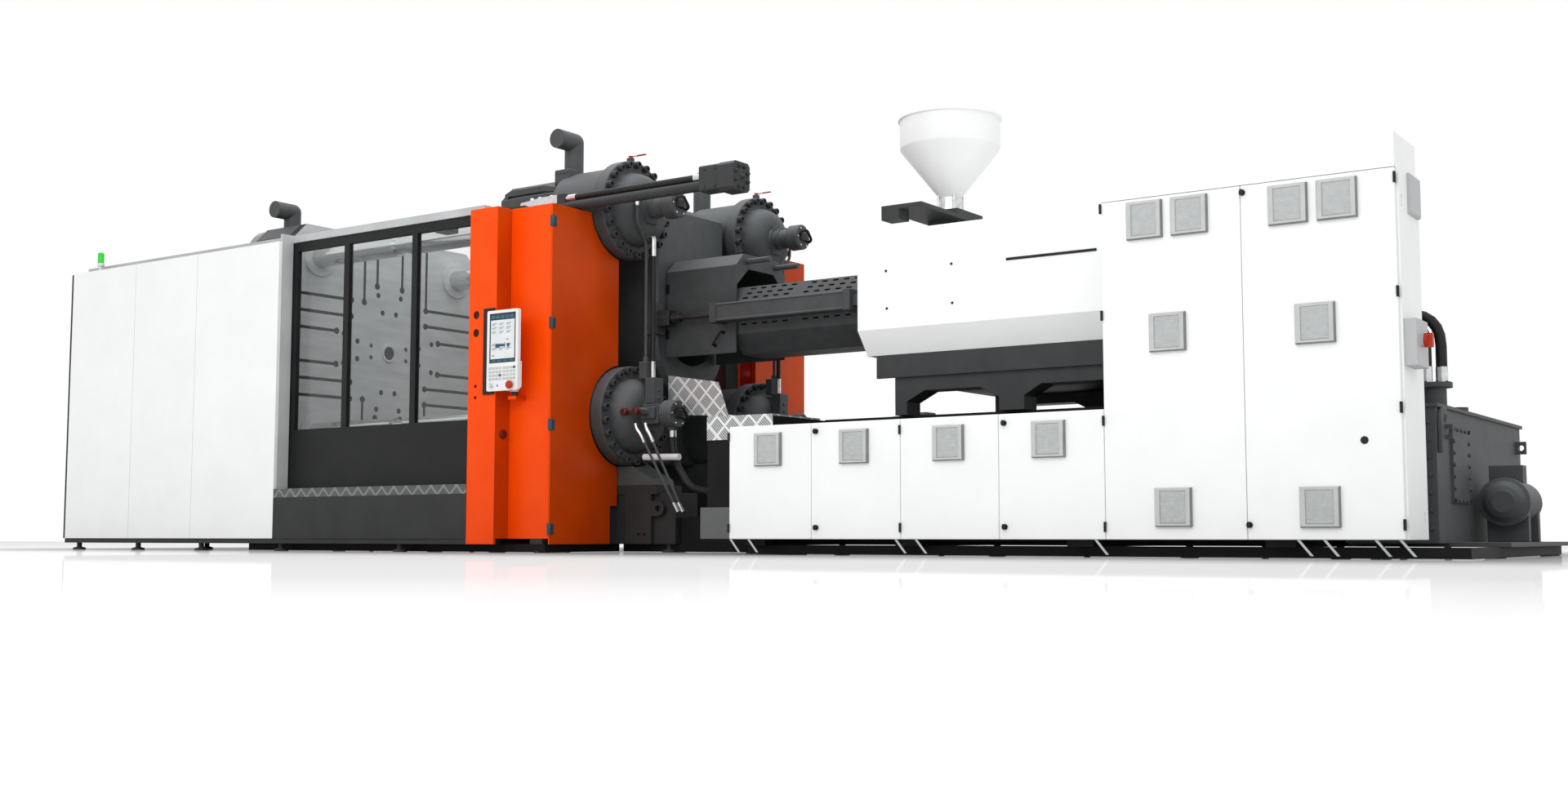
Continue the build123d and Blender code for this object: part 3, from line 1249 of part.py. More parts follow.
def injection_cover():
    """White cover of the injection unit: a faceted shell, open below and at the back end."""
    x0, x1 = INJECTION_COVER_X
    outer = prism_x(
        octagon(INJECTION_COVER_HALF, INJECTION_COVER_LEVELS, INJECTION_COVER_SLOPE, INJECTION_COVER_SLOPE),
        x0, x1,
    )
    z0, z1, z2, z3 = INJECTION_COVER_LEVELS
    s = INJECTION_SKIN
    inner = prism_x(
        octagon(INJECTION_COVER_HALF - s, (z0 - s, z1, z2, z3 - s), INJECTION_COVER_SLOPE, INJECTION_COVER_SLOPE),
        x0 + s, x1 - s,
    )
    shell = outer - inner
    shell -= bar_x(x0 - 1, x0 + s + 1, 0, AXIS_Z, 400)
    shell -= block(HOPPER_X - 124, HOPPER_X + 124, -124, 124, z3 - s - 5, z3 + 5)
    for y in (-CARRIAGE_Y, CARRIAGE_Y):
        shell -= block(x0 - 1, x0 + s + 1, y - 40, y + 40, AXIS_Z - 50, AXIS_Z + 50)
    return shell


# Hopper

def hopper():
    """Spun hopper: rolled rim, cylinder, cone, neck and base flange."""
    r, w, n = HOPPER_R, HOPPER_WALL, HOPPER_NECK_R
    base = SLIDE_PLATE_Z + 40
    profile = [
        (n, base), (n + 45, base), (n + 45, base + 22), (n + 8, base + 22), (n + 8, HOPPER_NECK_Z),
        (r, HOPPER_CONE_Z), (r, HOPPER_RIM_Z - 26), (r + 14, HOPPER_RIM_Z - 20), (r + 14, HOPPER_RIM_Z - 4),
        (r, HOPPER_RIM_Z), (r - w, HOPPER_RIM_Z), (r - w, HOPPER_CONE_Z + 4), (n, HOPPER_NECK_Z + 8),
    ]
    return Pos(HOPPER_X, 0, 0) * revolve(Plane.XZ * Polygon(*profile, align=None), Axis.Z)


def hopper_slide():
    """Sliding carrier plate under the hopper, with the hopper's seat."""
    z1 = SLIDE_PLATE_Z + 40
    plate = block(HOPPER_X - SLIDE_HALF_WIDTH, HOPPER_X + SLIDE_HALF_WIDTH, -190, 190, SLIDE_PLATE_Z + RUN_GAP, z1)
    return plate - bar_z(SLIDE_PLATE_Z - 1, z1 + 1, HOPPER_X, 0, HOPPER_NECK_R)


def slide_base():
    """Fixed base of the hopper slide: throat column and the long plate with its drain chute."""
    z0, z1 = SLIDE_PLATE_Z - SLIDE_PLATE_THICK, SLIDE_PLATE_Z
    w = SLIDE_HALF_WIDTH
    plate = block(HOPPER_X - w, HOPPER_X + w, SLIDE_FRONT_Y, 210, z0, z1)
    throat = block(HOPPER_X - 120, HOPPER_X + 120, -120, 120, AXIS_Z + BARREL_R + RUN_GAP, z0)
    chute = block(HOPPER_X - w, HOPPER_X - 20, SLIDE_FRONT_Y, SLIDE_FRONT_Y + 140, z0 - 70, z0)
    solid = joined([plate, throat, chute])
    return solid - bar_z(AXIS_Z, z1 + 1, HOPPER_X, 0, HOPPER_NECK_R)


def purge_guard():
    """Folded guard over the nozzle with chamfered top edges, open at both ends and below."""
    x0, x1 = GUARD_X
    z0, z1 = GUARD_Z
    h, c, s = GUARD_HALF_WIDTH, GUARD_CHAMFER, GUARD_SHEET
    outer = [(-h, z0), (h, z0), (h, z1 - c), (h - c, z1), (-h + c, z1), (-h, z1 - c)]
    inner = [(-h + s, z0 - 1), (h - s, z0 - 1), (h - s, z1 - c - s / 2), (h - c - s / 2, z1 - s),
             (-h + c + s / 2, z1 - s), (-h + s, z1 - c - s / 2)]
    shell = prism_x(outer, x0, x1) - prism_x(inner, x0 - 1, x1 + 1)
    mouth = [(-h + s, z0 - 1), (h - s, z0 - 1), (h - s, GUARD_MOUTH_TOP - GUARD_MOUTH_SLOPE),
             (GUARD_MOUTH_HALF, GUARD_MOUTH_TOP), (-GUARD_MOUTH_HALF, GUARD_MOUTH_TOP),
             (-h + s, GUARD_MOUTH_TOP - GUARD_MOUTH_SLOPE)]
    end_plate = prism_x(outer, x1 - s, x1) - prism_x(mouth, x1 - s - 1, x1 + 1)
    lugs = [block(x, x + 25, y - 36, y + 36, GUIDE_BAR_Z - 36, z1 - s + 1)
            for x in (x0 + 40, x1 - 150) for y in (-GUIDE_BAR_Y, GUIDE_BAR_Y)]
    solid = joined([shell, end_plate, *lugs])
    for y in (-GUIDE_BAR_Y, GUIDE_BAR_Y):
        solid -= bar_x(x0 - 1, x1 + 1, y, GUIDE_BAR_Z, GUIDE_BAR_R + FIT_GAP)
    return solid


def barrel_cover():
    """Perforated cover over the heater bands."""
    x0, x1 = BARREL_COVER_X
    half = BARREL_COVER_HALF
    z0, z1, z2, z3 = BARREL_COVER_LEVELS
    s = BARREL_COVER_SHEET
    outer = prism_x(octagon(half, BARREL_COVER_LEVELS, 150, 60), x0, x1)
    inner = prism_x(octagon(half - s, (z0 + s, z1, z2, z3 - s), 150, 60), x0 - 1, x1 + 1)
    shell = outer - inner
    cuts = []
    for group in range(2):
        for index in range(5):
            x = x0 + 90 + group * 560 + index * 95
            cuts.append(block(x, x + 48, -half - 10, half + 10, 1724, 1736))
            for row in range(3):
                z = z2 + 22 + row * 36
                cuts.append(block(x + row * 26, x + row * 26 + 48, -half - 10, half + 10, z, z + 12))
    shell -= joined(cuts)
    ring_section = octagon(half - s / 2, (z0 + s / 2, z1, z2, z3 - s / 2), 150, 60)
    for x in BULKHEADS_X:
        bulkhead = prism_x(ring_section, x, x + 12)
        shell += bulkhead - bar_x(x - 1, x + 13, 0, AXIS_Z, BARREL_R + RUN_GAP)
    return shell


def carriage_cylinder():
    """Square carriage cylinder beside the barrel, fixed to the carriage."""
    x0, x1 = CARRIAGE_CYLINDER_X
    h = CARRIAGE_CYLINDER_SIDE / 2
    y = -CARRIAGE_Y
    tube = block(x0 + 60, x1 - 60, y - h + 12, y + h - 12, AXIS_Z - h + 12, AXIS_Z + h - 12)
    ends = [block(x0, x0 + 60, y - h, y + h, AXIS_Z - h, AXIS_Z + h),
            block(x1 - 60, x1, y - h, y + h, AXIS_Z - h, AXIS_Z + h)]
    lugs = [block(x1 - 60, PEDESTAL_X[0] + 150, y - 30, y + 30, AXIS_Z - 40, AXIS_Z + 40)]
    bars = [bar_x(x0 + 55, x1 - 55, y - h + 16, AXIS_Z + dz, 10) for dz in (-h + 16, h - 16)]
    solid = joined([tube, *ends, *lugs, *bars])
    return solid - bar_x(x0 - 1, x1 - 80, y, AXIS_Z, 45)


def carriage_rod():
    """Rod of the carriage cylinder with its clevis and piston, fixed to the platen."""
    y = -CARRIAGE_Y
    x0 = CARRIAGE_CYLINDER_X[0]
    rod = bar_x(CLEVIS_X[1] - 5, x0 + 560, y, AXIS_Z, 24)
    piston = bar_x(x0 + 480, x0 + 560, y, AXIS_Z, 45 - FIT_GAP)
    nut = bar_x(CLEVIS_X[1] + 16, CLEVIS_X[1] + 80, y, AXIS_Z, 40)
    clevis = block(*CLEVIS_X, y - 45, y + 45, AXIS_Z - 60, AXIS_Z + 60)
    return joined([rod, piston, nut, clevis])


def screw_drive():
    """Drive block on the guide rods: it carries the motor and turns and pushes the screw."""
    x0, x1 = DRIVE_X
    body = block(x0, x1, -420, 420, AXIS_Z - 180, AXIS_Z + 180)
    motor = turned_x([(x1, 0), (x1, 170), (x1 + 340, 170), (x1 + 380, 120), (x1 + 380, 0)], 0, AXIS_Z)
    sleeves = [bar_x(x1, x1 + 350, y, AXIS_Z, 110) for y in (-GUIDE_Y, GUIDE_Y)]
    solid = joined([body, motor, *sleeves])
    for y in (-GUIDE_Y, GUIDE_Y):
        solid -= bar_x(x0 - 1, x1 + 351, y, AXIS_Z, GUIDE_R + FIT_GAP)
    return solid - bar_x(x0 - 10, x1 - 40, 0, AXIS_Z, 42 + FIT_GAP)


# Power unit

def hydraulic_tank():
    """Oil tank at the right end on its base plate, with the lid, flanged riser and lugs."""
    x0, x1 = TANK_X
    half = TANK_HALF
    body = block(x0, x1, -half, half, BASE_PLATE_TOP - 5, TANK_TOP - 20)
    lid = block(x0 - 20, x1 + 15, -half - 15, half + 15, TANK_TOP - 20, TANK_TOP)
    base = block(x0 - 50, POWER_UNIT_END_X, -TANK_BASE_HALF, TANK_BASE_HALF, FOOT_HEIGHT, BASE_PLATE_TOP)
    cover = block(x1, x1 + 16, -820, -420, 300, 720)
    riser_top = TANK_TOP + RISER_HEIGHT
    riser = bar_z(TANK_TOP - 5, riser_top - 20, RISER_X, RISER_Y, 62)
    flange = bar_z(riser_top - 28, riser_top, RISER_X, RISER_Y, 94)
    breather = bar_z(TANK_TOP - 5, TANK_TOP + 90, RISER_X - 150, 500, 55)
    lug_y = half - 130
    lugs = [block(x1, x1 + 60, y - 15, y + 15, 640, 720) for y in (-lug_y, lug_y)]
    solid = joined([body, lid, base, cover, riser, flange, breather, *lugs])
    for y in (-lug_y, lug_y):
        solid -= bar_y(y - 20, y + 20, x1 + 32, 680, 18)
    return solid


def pump_motor():
    """Pump and motor set beside the tank, along Y, with its feet and the valve on top."""
    y0, y1 = MOTOR_Y
    r = MOTOR_R
    profile = [(0, y0), (60, y0), (90, y0 + 12), (r - 20, y0 + 40), (r, y0 + 46), (r, y0 + 96),
               (r - 16, y0 + 100), (r - 16, y1), (r - 60, y1), (r - 60, y1 + 260), (0, y1 + 260)]
    motor = Pos(MOTOR_X, 0, MOTOR_Z) * revolve(Plane.XY * Polygon(*profile, align=None), Axis.Y)
    feet = [block(MOTOR_X - 110, MOTOR_X + 110, y, y + 60, BASE_PLATE_TOP, MOTOR_Z - 60)
            for y in (y0 + 130, y1 - 80)]
    valve = block(MOTOR_X - 90, MOTOR_X + 90, y0 + 120, y0 + 230, MOTOR_Z + r - 30, MOTOR_Z + r + 70)
    return joined([motor, *feet, valve])


def tube(points, radius, bend):
    """Round tube or hose along points with bends of one radius."""
    path = FilletPolyline(*points, radius=bend)
    plane = Plane(origin=path @ 0, z_dir=path % 0)
    return sweep(plane * Circle(radius), path=path)


def hydraulic_pipes():
    """Steel pipes, their blocks on the clamp cylinders and the valves under the levers."""
    solids = []
    for side in (-1, 1):
        y = side * TIE_SPACING_Y / 2
        low, high, wide = MANIFOLD_X
        tower = block(high, wide, y - MANIFOLD_HALF, y + MANIFOLD_HALF, LOWER_Z + SENSOR_R / 2, MANIFOLD_SHELF)
        tower -= bar_x(high - 1, wide + 1, y, LOWER_Z, SENSOR_R + RUN_GAP)
        shelf = block(low, wide, y - MANIFOLD_HALF, y + MANIFOLD_HALF, MANIFOLD_SHELF, MANIFOLD_TOP)
        solids.append(tower + shelf)
        x, out, z = PIPE_TOP
        knee_x, knee_out, knee_z = PIPE_LINE
        start = (x, y + side * out, z)
        pipe = tube([start, (x, y + side * out, PIPE_KNEE_Z), (knee_x, y + side * knee_out, knee_z),
                     (knee_x, y + side * knee_out, MANIFOLD_TOP)], PIPE_R, PIPE_BEND)
        collar = bar_z(MANIFOLD_TOP, MANIFOLD_TOP + 34, knee_x, y + side * knee_out, PIPE_R + 10)
        union = bar_z(z - 6, z + PORT_R, x, y + side * out, PIPE_R + 8)
        elbow = bar_x(FLANGE_FRONT_X + DOME_HEIGHT, x + PIPE_R + 8, y + side * out, z + PORT_R, PIPE_R + 8)
        solids.append(joined([pipe, collar, union, elbow]))
        solids.append(valve_stub(y))
    return solids


def hydraulic_hoses():
    """Black hoses: at the clamp cylinders, along the traverse cylinders and over the tank."""
    hoses = []
    for side in (-1, 1):
        y = side * TIE_SPACING_Y / 2
        hoses.append(drop_hose(y))
        hoses.append(supply_hose(y))
    hoses += diagonal(traverse_hose())
    top = TANK_TOP + RISER_HEIGHT
    for dx, dy in ((-34, -30), (34, 30)):
        x, y = RISER_X + dx, RISER_Y + dy
        hoses.append(tube([(x, y, top), (x, y, top + 400), (x - 420, y, top + 400), (x - 420, y, TANK_TOP)],
                          30, 160))
    return hoses


def drop_hose(y):
    """Hose from the upper cylinder's dome down to the block on the lower cylinder's sensor."""
    top = UPPER_Z - HOSE_DROP
    return tube([(PORT_END, y, top), (HOSE_X, y, top), (HOSE_X, y, MANIFOLD_TOP)], HOSE_R, HOSE_R * 2)


def supply_hose(y):
    """Wide hose from the lower cylinder's sensor down to the bed of the injection unit."""
    points = [(SUPPLY_X, y, SUPPLY_TOP)]
    points += [(x, y, z) for x, z in SUPPLY_BENDS]
    points.append((TREAD_X, y, SUPPLY_BENDS[-1][1]))
    return tube(points, SUPPLY_R, SUPPLY_R * 3)


def traverse_hose():
    """Straight hose on top of the traverse cylinder, from its foot to its end block."""
    z = TRAVERSE_Z + TRAVERSE_R + TRAVERSE_HOSE_R + RUN_GAP
    head = TRAVERSE_RIGHT_X - TRAVERSE_STUD - TRAVERSE_END_HEAD - TRAVERSE_HEAD
    return bar_x(TRAVERSE_UNION_X, head, -TRAVERSE_Y, z, TRAVERSE_HOSE_R)


def signal_lamp():
    """Signal lamp on the covers at the clamp end."""
    x, y = -5700, -HALF_WIDTH + 60
    profile = [(0, COVER_TOP - 60), (14, COVER_TOP - 60), (14, COVER_TOP + 50), (32, COVER_TOP + 50),
               (32, COVER_TOP + 78), (28, COVER_TOP + 80), (28, COVER_TOP + 168), (20, COVER_TOP + 176),
               (0, COVER_TOP + 176)]
    lamp = Pos(x, y, 0) * revolve(Plane.XZ * Polygon(*profile, align=None), Axis.Z)
    bracket = block(x - 14, x + 14, -HALF_WIDTH + SHEET, y + 14, COVER_TOP - 64, COVER_TOP - 56)
    return lamp + bracket


def write_cabinets():
    """Build and write the cabinets with their doors, hinges and knobs."""
    seams = lower_seams()
    write("lower_cabinet", lower_cabinet(), cable_box())
    for index, inset in enumerate(LOWER_FILTER_INSETS):
        locks = [(seams[index] + KNOB_INSET, z) for z in LOWER_KNOBS_Z] if index % 2 else []
        door = cabinet_door(seams[index], seams[index + 1], COVER_BASE, LOWER_TOP,
                            [(seams[index] + inset, LOWER_FILTER_TOP)], locks)
        write(f"cabinet_door_{index + 1}", door)
    middle = ELECTRIC_MIDDLE_X
    locks = [(middle + ELECTRIC_KNOB_INSET, z) for z in ELECTRIC_KNOBS_Z]
    write("electric_cabinet", electric_cabinet(), main_switch_box())
    write("electric_door_left",
          cabinet_door(LOWER_END_X, middle, COVER_BASE, ELECTRIC_DOOR_TOP, placed(LEFT_FILTERS, LOWER_END_X)))
    write("electric_door_right",
          cabinet_door(middle, ELECTRIC_END_X, COVER_BASE, ELECTRIC_DOOR_TOP, placed(RIGHT_FILTERS, middle),
                       locks))
    write("cabinet_hinges", *cabinet_hinges())
    for index, x in enumerate((seams[1] + KNOB_INSET, seams[3] + KNOB_INSET)):
        for level, z in zip(("upper", "lower"), LOWER_KNOBS_Z):
            write(f"cabinet_knob_{index + 1}_{level}", knob(x, z))
    for level, (x, z) in zip(("upper", "lower"), locks):
        write(f"electric_knob_{level}", knob(x, z))


def main():
    """Build every node and write it."""
    os.makedirs("parts", exist_ok=True)
    door_left, door_right = POST_X - 20, COLUMN_X - 8
    write("clamp_bed", clamp_bed(), *plinth(), *both_sides(kick_panel()))
    write("injection_bed", injection_bed(), *skids())
    write("levelling_feet", *levelling_feet())
    write("clamp_covers", *clamp_covers())
    write("door_tracks", *door_tracks())
    write("chequer_plates", *chequer_plates())
    write("corner_columns", *both_sides(corner_column()), rear_side_panel(), panel_bracket())
    write("column_door", column_door_panel())
    write("fixed_platen", fixed_platen())
    write("clamp_cylinders", *[clamp_cylinder(y, z) for y, z in TIE_CENTRES])
    write("cylinder_covers", *[cylinder_cover(y, z) for y, z in TIE_CENTRES])
    write("clamp_screws", *clamp_screws())
    write("tie_bars", *tie_bars())
    write("moving_platen", moving_platen())
    write("ejector_plate", ejector_plate())
    write("lock_nuts_upper", lock_nuts(1))
    write("lock_nuts_lower", lock_nuts(-1))
    write("traverse_cylinders", *diagonal(traverse_barrel()))
    write("traverse_rods", *diagonal(traverse_rod()))
    write("front_door_frame", door_frame(door_left, door_right))
    write("front_door_panes", *door_panes(door_left, door_right))
    write("rear_gate", rear_gate(door_left, door_right))
    write("control_housing", control_housing())
    write("emergency_stop", emergency_stop())
    write("mode_selector", mode_selector())
    write_cabinets()
    for side, name in ((-1, "front"), (1, "rear")):
        write(f"bleed_lever_{name}", bleed_lever(side * TIE_SPACING_Y / 2))
    write("hydraulic_pipes", *hydraulic_pipes())
    write("hydraulic_hoses", *hydraulic_hoses())
    write("main_switch_handle", main_switch_handle())
    write("injection_carriage", injection_carriage())
    write("hopper_base", slide_base())
    write("barrel", barrel())
    write("plasticising_screw", plasticising_screw())
    write("screw_drive", screw_drive())
    write("injection_cover", injection_cover())
    write("barrel_cover", barrel_cover())
    write("purge_guard", purge_guard())
    write("carriage_cylinders", *both_sides(carriage_cylinder()))
    write("carriage_rods", *both_sides(carriage_rod()))
    write("hopper_slide", hopper_slide())
    write("hopper", hopper())
    write("hydraulic_tank", hydraulic_tank())
    write("pump_motor", pump_motor())
    write("signal_lamp", signal_lamp())


main()
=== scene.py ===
# %% [markdown]
# # The injection moulding machine's looks
# The CAD model holds every piece of the machine in its place. It could be coloured as it is, but it
# lacks the small rounds, screws and marks that make steel and paint look real. So this script
# keeps the CAD model as a fixed frame, adds finer pieces over it, and gives each piece its
# material. The first cell loads the frame.

# %% Load the machine
import math

import bmesh
import bpy
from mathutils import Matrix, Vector


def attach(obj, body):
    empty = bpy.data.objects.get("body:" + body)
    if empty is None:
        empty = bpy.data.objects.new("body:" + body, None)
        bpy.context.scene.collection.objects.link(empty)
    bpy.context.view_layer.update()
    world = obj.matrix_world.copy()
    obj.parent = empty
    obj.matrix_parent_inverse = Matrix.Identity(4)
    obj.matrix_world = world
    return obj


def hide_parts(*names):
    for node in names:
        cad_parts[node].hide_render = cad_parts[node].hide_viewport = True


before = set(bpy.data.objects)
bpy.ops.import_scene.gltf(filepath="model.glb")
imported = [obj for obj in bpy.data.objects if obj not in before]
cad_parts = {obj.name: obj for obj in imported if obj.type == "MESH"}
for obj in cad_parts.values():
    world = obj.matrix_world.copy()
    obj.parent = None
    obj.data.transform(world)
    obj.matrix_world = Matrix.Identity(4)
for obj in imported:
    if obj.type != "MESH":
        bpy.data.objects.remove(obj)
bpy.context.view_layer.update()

# %% [markdown]
# ## Main stations
# A machine like this is laid out from a few planes and axes: the front of its covers, the axis of
# the screw, and the four tie bars round the mould. They could be measured on each node, but a
# named value is easier to follow, and it is the same as in the CAD source. All are in metres.

# %% Main stations
FRONT = -1.776
AXIS_Z = 1.81
TIE_Y, TIE_Z = 0.823, 0.788
TIE_CENTRES = [(sy * TIE_Y, AXIS_Z + sz * TIE_Z) for sz in (1, -1) for sy in (-1, 1)]
FLANGE_FRONT = -0.088
FLANGE_REAR = -0.190
COVER_TOP = 2.53
print("tie bar centres", [(round(y, 3), round(z, 3)) for y, z in TIE_CENTRES])

# %% [markdown]
# ## A piece
# Every part of the machine that is added here is one closed mesh. It could be built by hand, or
# from Blender's primitives with modifiers. Writing it straight into a bmesh keeps each size
# readable, and makes the same mesh on every run. A piece collects faces in one or more
# materials. At the end it becomes an object that rides on a body of the machine, so that it moves
# with that body's joint.

# %% Piece
AXES = {"x": Vector((1, 0, 0)), "y": Vector((0, 1, 0)), "z": Vector((0, 0, 1))}
SIDES = {"x": ("y", "z"), "y": ("z", "x"), "z": ("x", "y")}


class Piece:
    """One mesh under construction, with as many materials as it needs."""

    def __init__(self):
        self.mesh = bmesh.new()
        self.slot = 0

    def face(self, corners):
        """Add one face in the piece's present material."""
        made = self.mesh.faces.new(corners)
        made.material_index = self.slot
        return made

    def faces_of(self, verts, faces):
        """Add a shape from points and index lists."""
        points = [self.mesh.verts.new(v) for v in verts]
        return [self.face([points[i] for i in face]) for face in faces]

    def round_edges(self, faces, edge, steps=1):
        """Round the edges of some faces, always in the same order."""
        edges = list(dict.fromkeys(e for face in faces for e in face.edges))
        bmesh.ops.bevel(self.mesh, geom=edges, offset=edge, segments=steps, affect="EDGES",
                        profile=0.7, clamp_overlap=True, material=self.slot)

    def done(self, name, body, materials, stands_for=(), sharp=32):
        """Turn the mesh into a Blender object that rides on a body of the machine."""
        bmesh.ops.recalc_face_normals(self.mesh, faces=self.mesh.faces)
        data = bpy.data.meshes.new(name)
        self.mesh.to_mesh(data)
        self.mesh.free()
        data.shade_smooth()
        data.set_sharp_from_angle(angle=math.radians(sharp))
        for material in materials:
            data.materials.append(material)
        obj = bpy.data.objects.new(name, data)
        bpy.context.scene.collection.objects.link(obj)
        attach(obj, body)
        if stands_for:
            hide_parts(*stands_for)
        print(name, len(data.polygons), "faces")


# %% [markdown]
# ## Blocks
# Valve blocks, brackets and cover sheets are blocks with slightly broken edges. A scaled cube
# would stretch its edge rounds with it, so the block is made from its two corners, and the round
# is added afterwards at its own size.

# %% Blocks
def box(piece, lo, hi, edge=0.0, steps=1):
    """A block between two corners, its edges rounded by edge."""
    (x0, y0, z0), (x1, y1, z1) = lo, hi
    verts = [(x, y, z) for x in (x0, x1) for y in (y0, y1) for z in (z0, z1)]
    faces = [(0, 1, 3, 2), (4, 6, 7, 5), (0, 4, 5, 1), (2, 3, 7, 6), (0, 2, 6, 4), (1, 5, 7, 3)]
    made = piece.faces_of(verts, faces)
    if edge:
        piece.round_edges(made, edge, steps)


Piece.box = box

# %% [markdown]
# ## Turned shapes
# Cylinders, flanges, knobs and the hopper come from a lathe or a spinning tool, so the same is
# done here: a profile of points, each with its place along the axis and its radius, is turned
# about the axis. A point on the axis closes the end, and a closed profile makes a hollow ring.

# %% Turned shapes
def turned(piece, axis, centre, profile, count=48, closed=False):
    """A profile of (along, radius) points turned about an axis through centre."""
    a, (u, v) = AXES[axis], (AXES[s] for s in SIDES[axis])
    base = Vector(centre)
    rows = []
    for along, radius in profile:
        if radius <= 1e-6:
            rows.append([piece.mesh.verts.new(base + a * along)])
            continue
        row = []
        for i in range(count):
            t = 2 * math.pi * i / count
            spoke = u * radius * math.cos(t) + v * radius * math.sin(t)
            row.append(piece.mesh.verts.new(base + a * along + spoke))
        rows.append(row)
    pairs = list(zip(rows, rows[1:]))
    if closed:
        pairs.append((rows[-1], rows[0]))
    for one, two in pairs:
        for i in range(count):
            j = (i + 1) % count
            corners = (one[i % len(one)], one[j % len(one)], two[j % len(two)], two[i % len(two)])
            ring = list(dict.fromkeys(corners))
            if len(ring) >= 3:
                piece.face(ring)
    if not closed:
        for row in (rows[0], rows[-1]):
            if len(row) > 1:
                piece.face(row)


Piece.turned = turned

# %% [markdown]
# ## Plates
# Lugs, struts and saddles are cut from plate. Their outline is drawn in the plane across one axis,
# and the plate's thickness goes along that axis.

# %% Plates
def plate(piece, axis, outline, a0, a1, edge=0.0):
    """An outline in the plane across axis, given thickness from a0 to a1."""
    a, (u, v) = AXES[axis], (AXES[s] for s in SIDES[axis])
    low = [piece.mesh.verts.new(a * a0 + u * p + v * q) for p, q in outline]
    high = [piece.mesh.verts.new(a * a1 + u * p + v * q) for p, q in outline]
    made = [piece.face(low[::-1]), piece.face(high)]
    for i in range(len(outline)):
        j = (i + 1) % len(outline)
        made.append(piece.face([low[i], low[j], high[j], high[i]]))
    if edge:
        piece.round_edges(made, edge)


Piece.plate = plate

# %% [markdown]
# ## Tubes
# Pipes and hoses follow a line of points, and a fitter's bend rounds each corner. A curve object
# with a bevel would look alike, but a mesh tube joins the piece's other shapes in one object. The
# ring of points is carried along the line without twisting.

# %% Tubes
BEND_STEPS = 6


def rounded_path(points, bend):
    """The points with each corner replaced by a short arc."""
    if bend <= 0 or len(points) < 3:
        return points
    out = [points[0]]
    for before, corner, after in zip(points, points[1:], points[2:]):
        back, ahead = (before - corner), (after - corner)
        reach = min(bend, back.length * 0.48, ahead.length * 0.48)
        start = corner + back.normalized() * reach
        end = corner + ahead.normalized() * reach
        for i in range(BEND_STEPS + 1):
            t = i / BEND_STEPS
            out.append(start.lerp(corner, t).lerp(corner.lerp(end, t), t))
    out.append(points[-1])
    return out


def tube(piece, points, radius, bend=0.0, count=14):
    """A round tube along points, its corners rounded by bend."""
    path = rounded_path([Vector(p) for p in points], bend)
    rows = []
    side = None
    for i, point in enumerate(path):
        ahead = (path[min(i + 1, len(path) - 1)] - path[max(i - 1, 0)]).normalized()
        if side is None:
            side = ahead.orthogonal().normalized()
        side = (side - ahead * side.dot(ahead)).normalized()
        across = ahead.cross(side)
        turns = [2 * math.pi * step / count for step in range(count)]
        rows.append([piece.mesh.verts.new(point + side * radius * math.cos(t)
                                          + across * radius * math.sin(t)) for t in turns])
    for one, two in zip(rows, rows[1:]):
        for i in range(count):
            j = (i + 1) % count
            piece.face([one[i], one[j], two[j], two[i]])
    for row in (rows[0], rows[-1]):
        piece.face(row)


Piece.tube = tube

# %% [markdown]
# ## A finish
# The machine has few finishes: white covers, one orange corner column, dark grey castings,
# machined steel, chrome, chequered aluminium, black rubber and a little plastic. Pictures could
# be wrapped round the pieces, but procedural nodes need no files and fit any shape. A finish
# holds one material's nodes, and has a short word for each node that is used again and again.

# %% Finish
def rgb(code):
    """Linear colour from a hex code."""
    values = [int(code[i:i + 2], 16) / 255 for i in (1, 3, 5)]
    return [v / 12.92 if v <= 0.04045 else ((v + 0.055) / 1.055) ** 2.4 for v in values] + [1.0]


class Finish:
    """One material under construction: its nodes, its links and its main shader."""

    def __init__(self, name, rough, metal=0.0, shine=0.5):
        self.material = bpy.data.materials.new(name)
        self.material.use_nodes = True
        self.nodes = self.material.node_tree.nodes
        self.links = self.material.node_tree.links
        self.shader = self.nodes["Principled BSDF"]
        self.shader.inputs["Roughness"].default_value = rough
        self.shader.inputs["Metallic"].default_value = metal
        self.shader.inputs["Specular IOR Level"].default_value = shine

    def feed(self, socket, value):
        """Set a socket to a value, or link it to another node's output."""
        if isinstance(value, bpy.types.NodeSocket):
            self.links.new(value, socket)
        else:
            socket.default_value = value

    def node(self, kind, inputs, **settings):
        """A node with its settings, and its inputs by name or number."""
        made = self.nodes.new(kind)
        for setting, value in settings.items():
            setattr(made, setting, value)
        for key, value in inputs.items():
            self.feed(made.inputs[key], value)
        return made

    def compute(self, operation, first, second=0.5, third=0.5):
        """One step of arithmetic."""
        return self.node("ShaderNodeMath", {0: first, 1: second, 2: third}, operation=operation).outputs[0]

    def remap(self, value, low, high, to_low=0.0, to_high=1.0, curve="LINEAR"):
        """A value between low and high, moved to another range."""
        ends = {"Value": value, "From Min": low, "From Max": high, "To Min": to_low, "To Max": to_high}
        return self.node("ShaderNodeMapRange", ends, interpolation_type=curve).outputs[0]

    def mixed(self, share, one, two, blend="MIX"):
        """Two colours mixed by a share."""
        mix = self.node("ShaderNodeMix", {}, data_type="RGBA", blend_type=blend)
        for number, value in ((0, share), (6, one), (7, two)):
            self.feed(mix.inputs[number], value)
        return mix.outputs[2]

    def ramp(self, value, low, high, low_color, high_color):
        """A colour ramp between two colours."""
        node = self.node("ShaderNodeValToRGB", {"Fac": value})
        for element, place, color in zip(node.color_ramp.elements, (low, high), (low_color, high_color)):
            element.position = place
            element.color = color
        return node.outputs["Color"]


# %% [markdown]
# ## Where a point lies, and where it looks
# The nodes keep the machine's own coordinates, so a finish can change at a named place, such as
# the mould face of a platen. The surface's direction tells a top from a side.

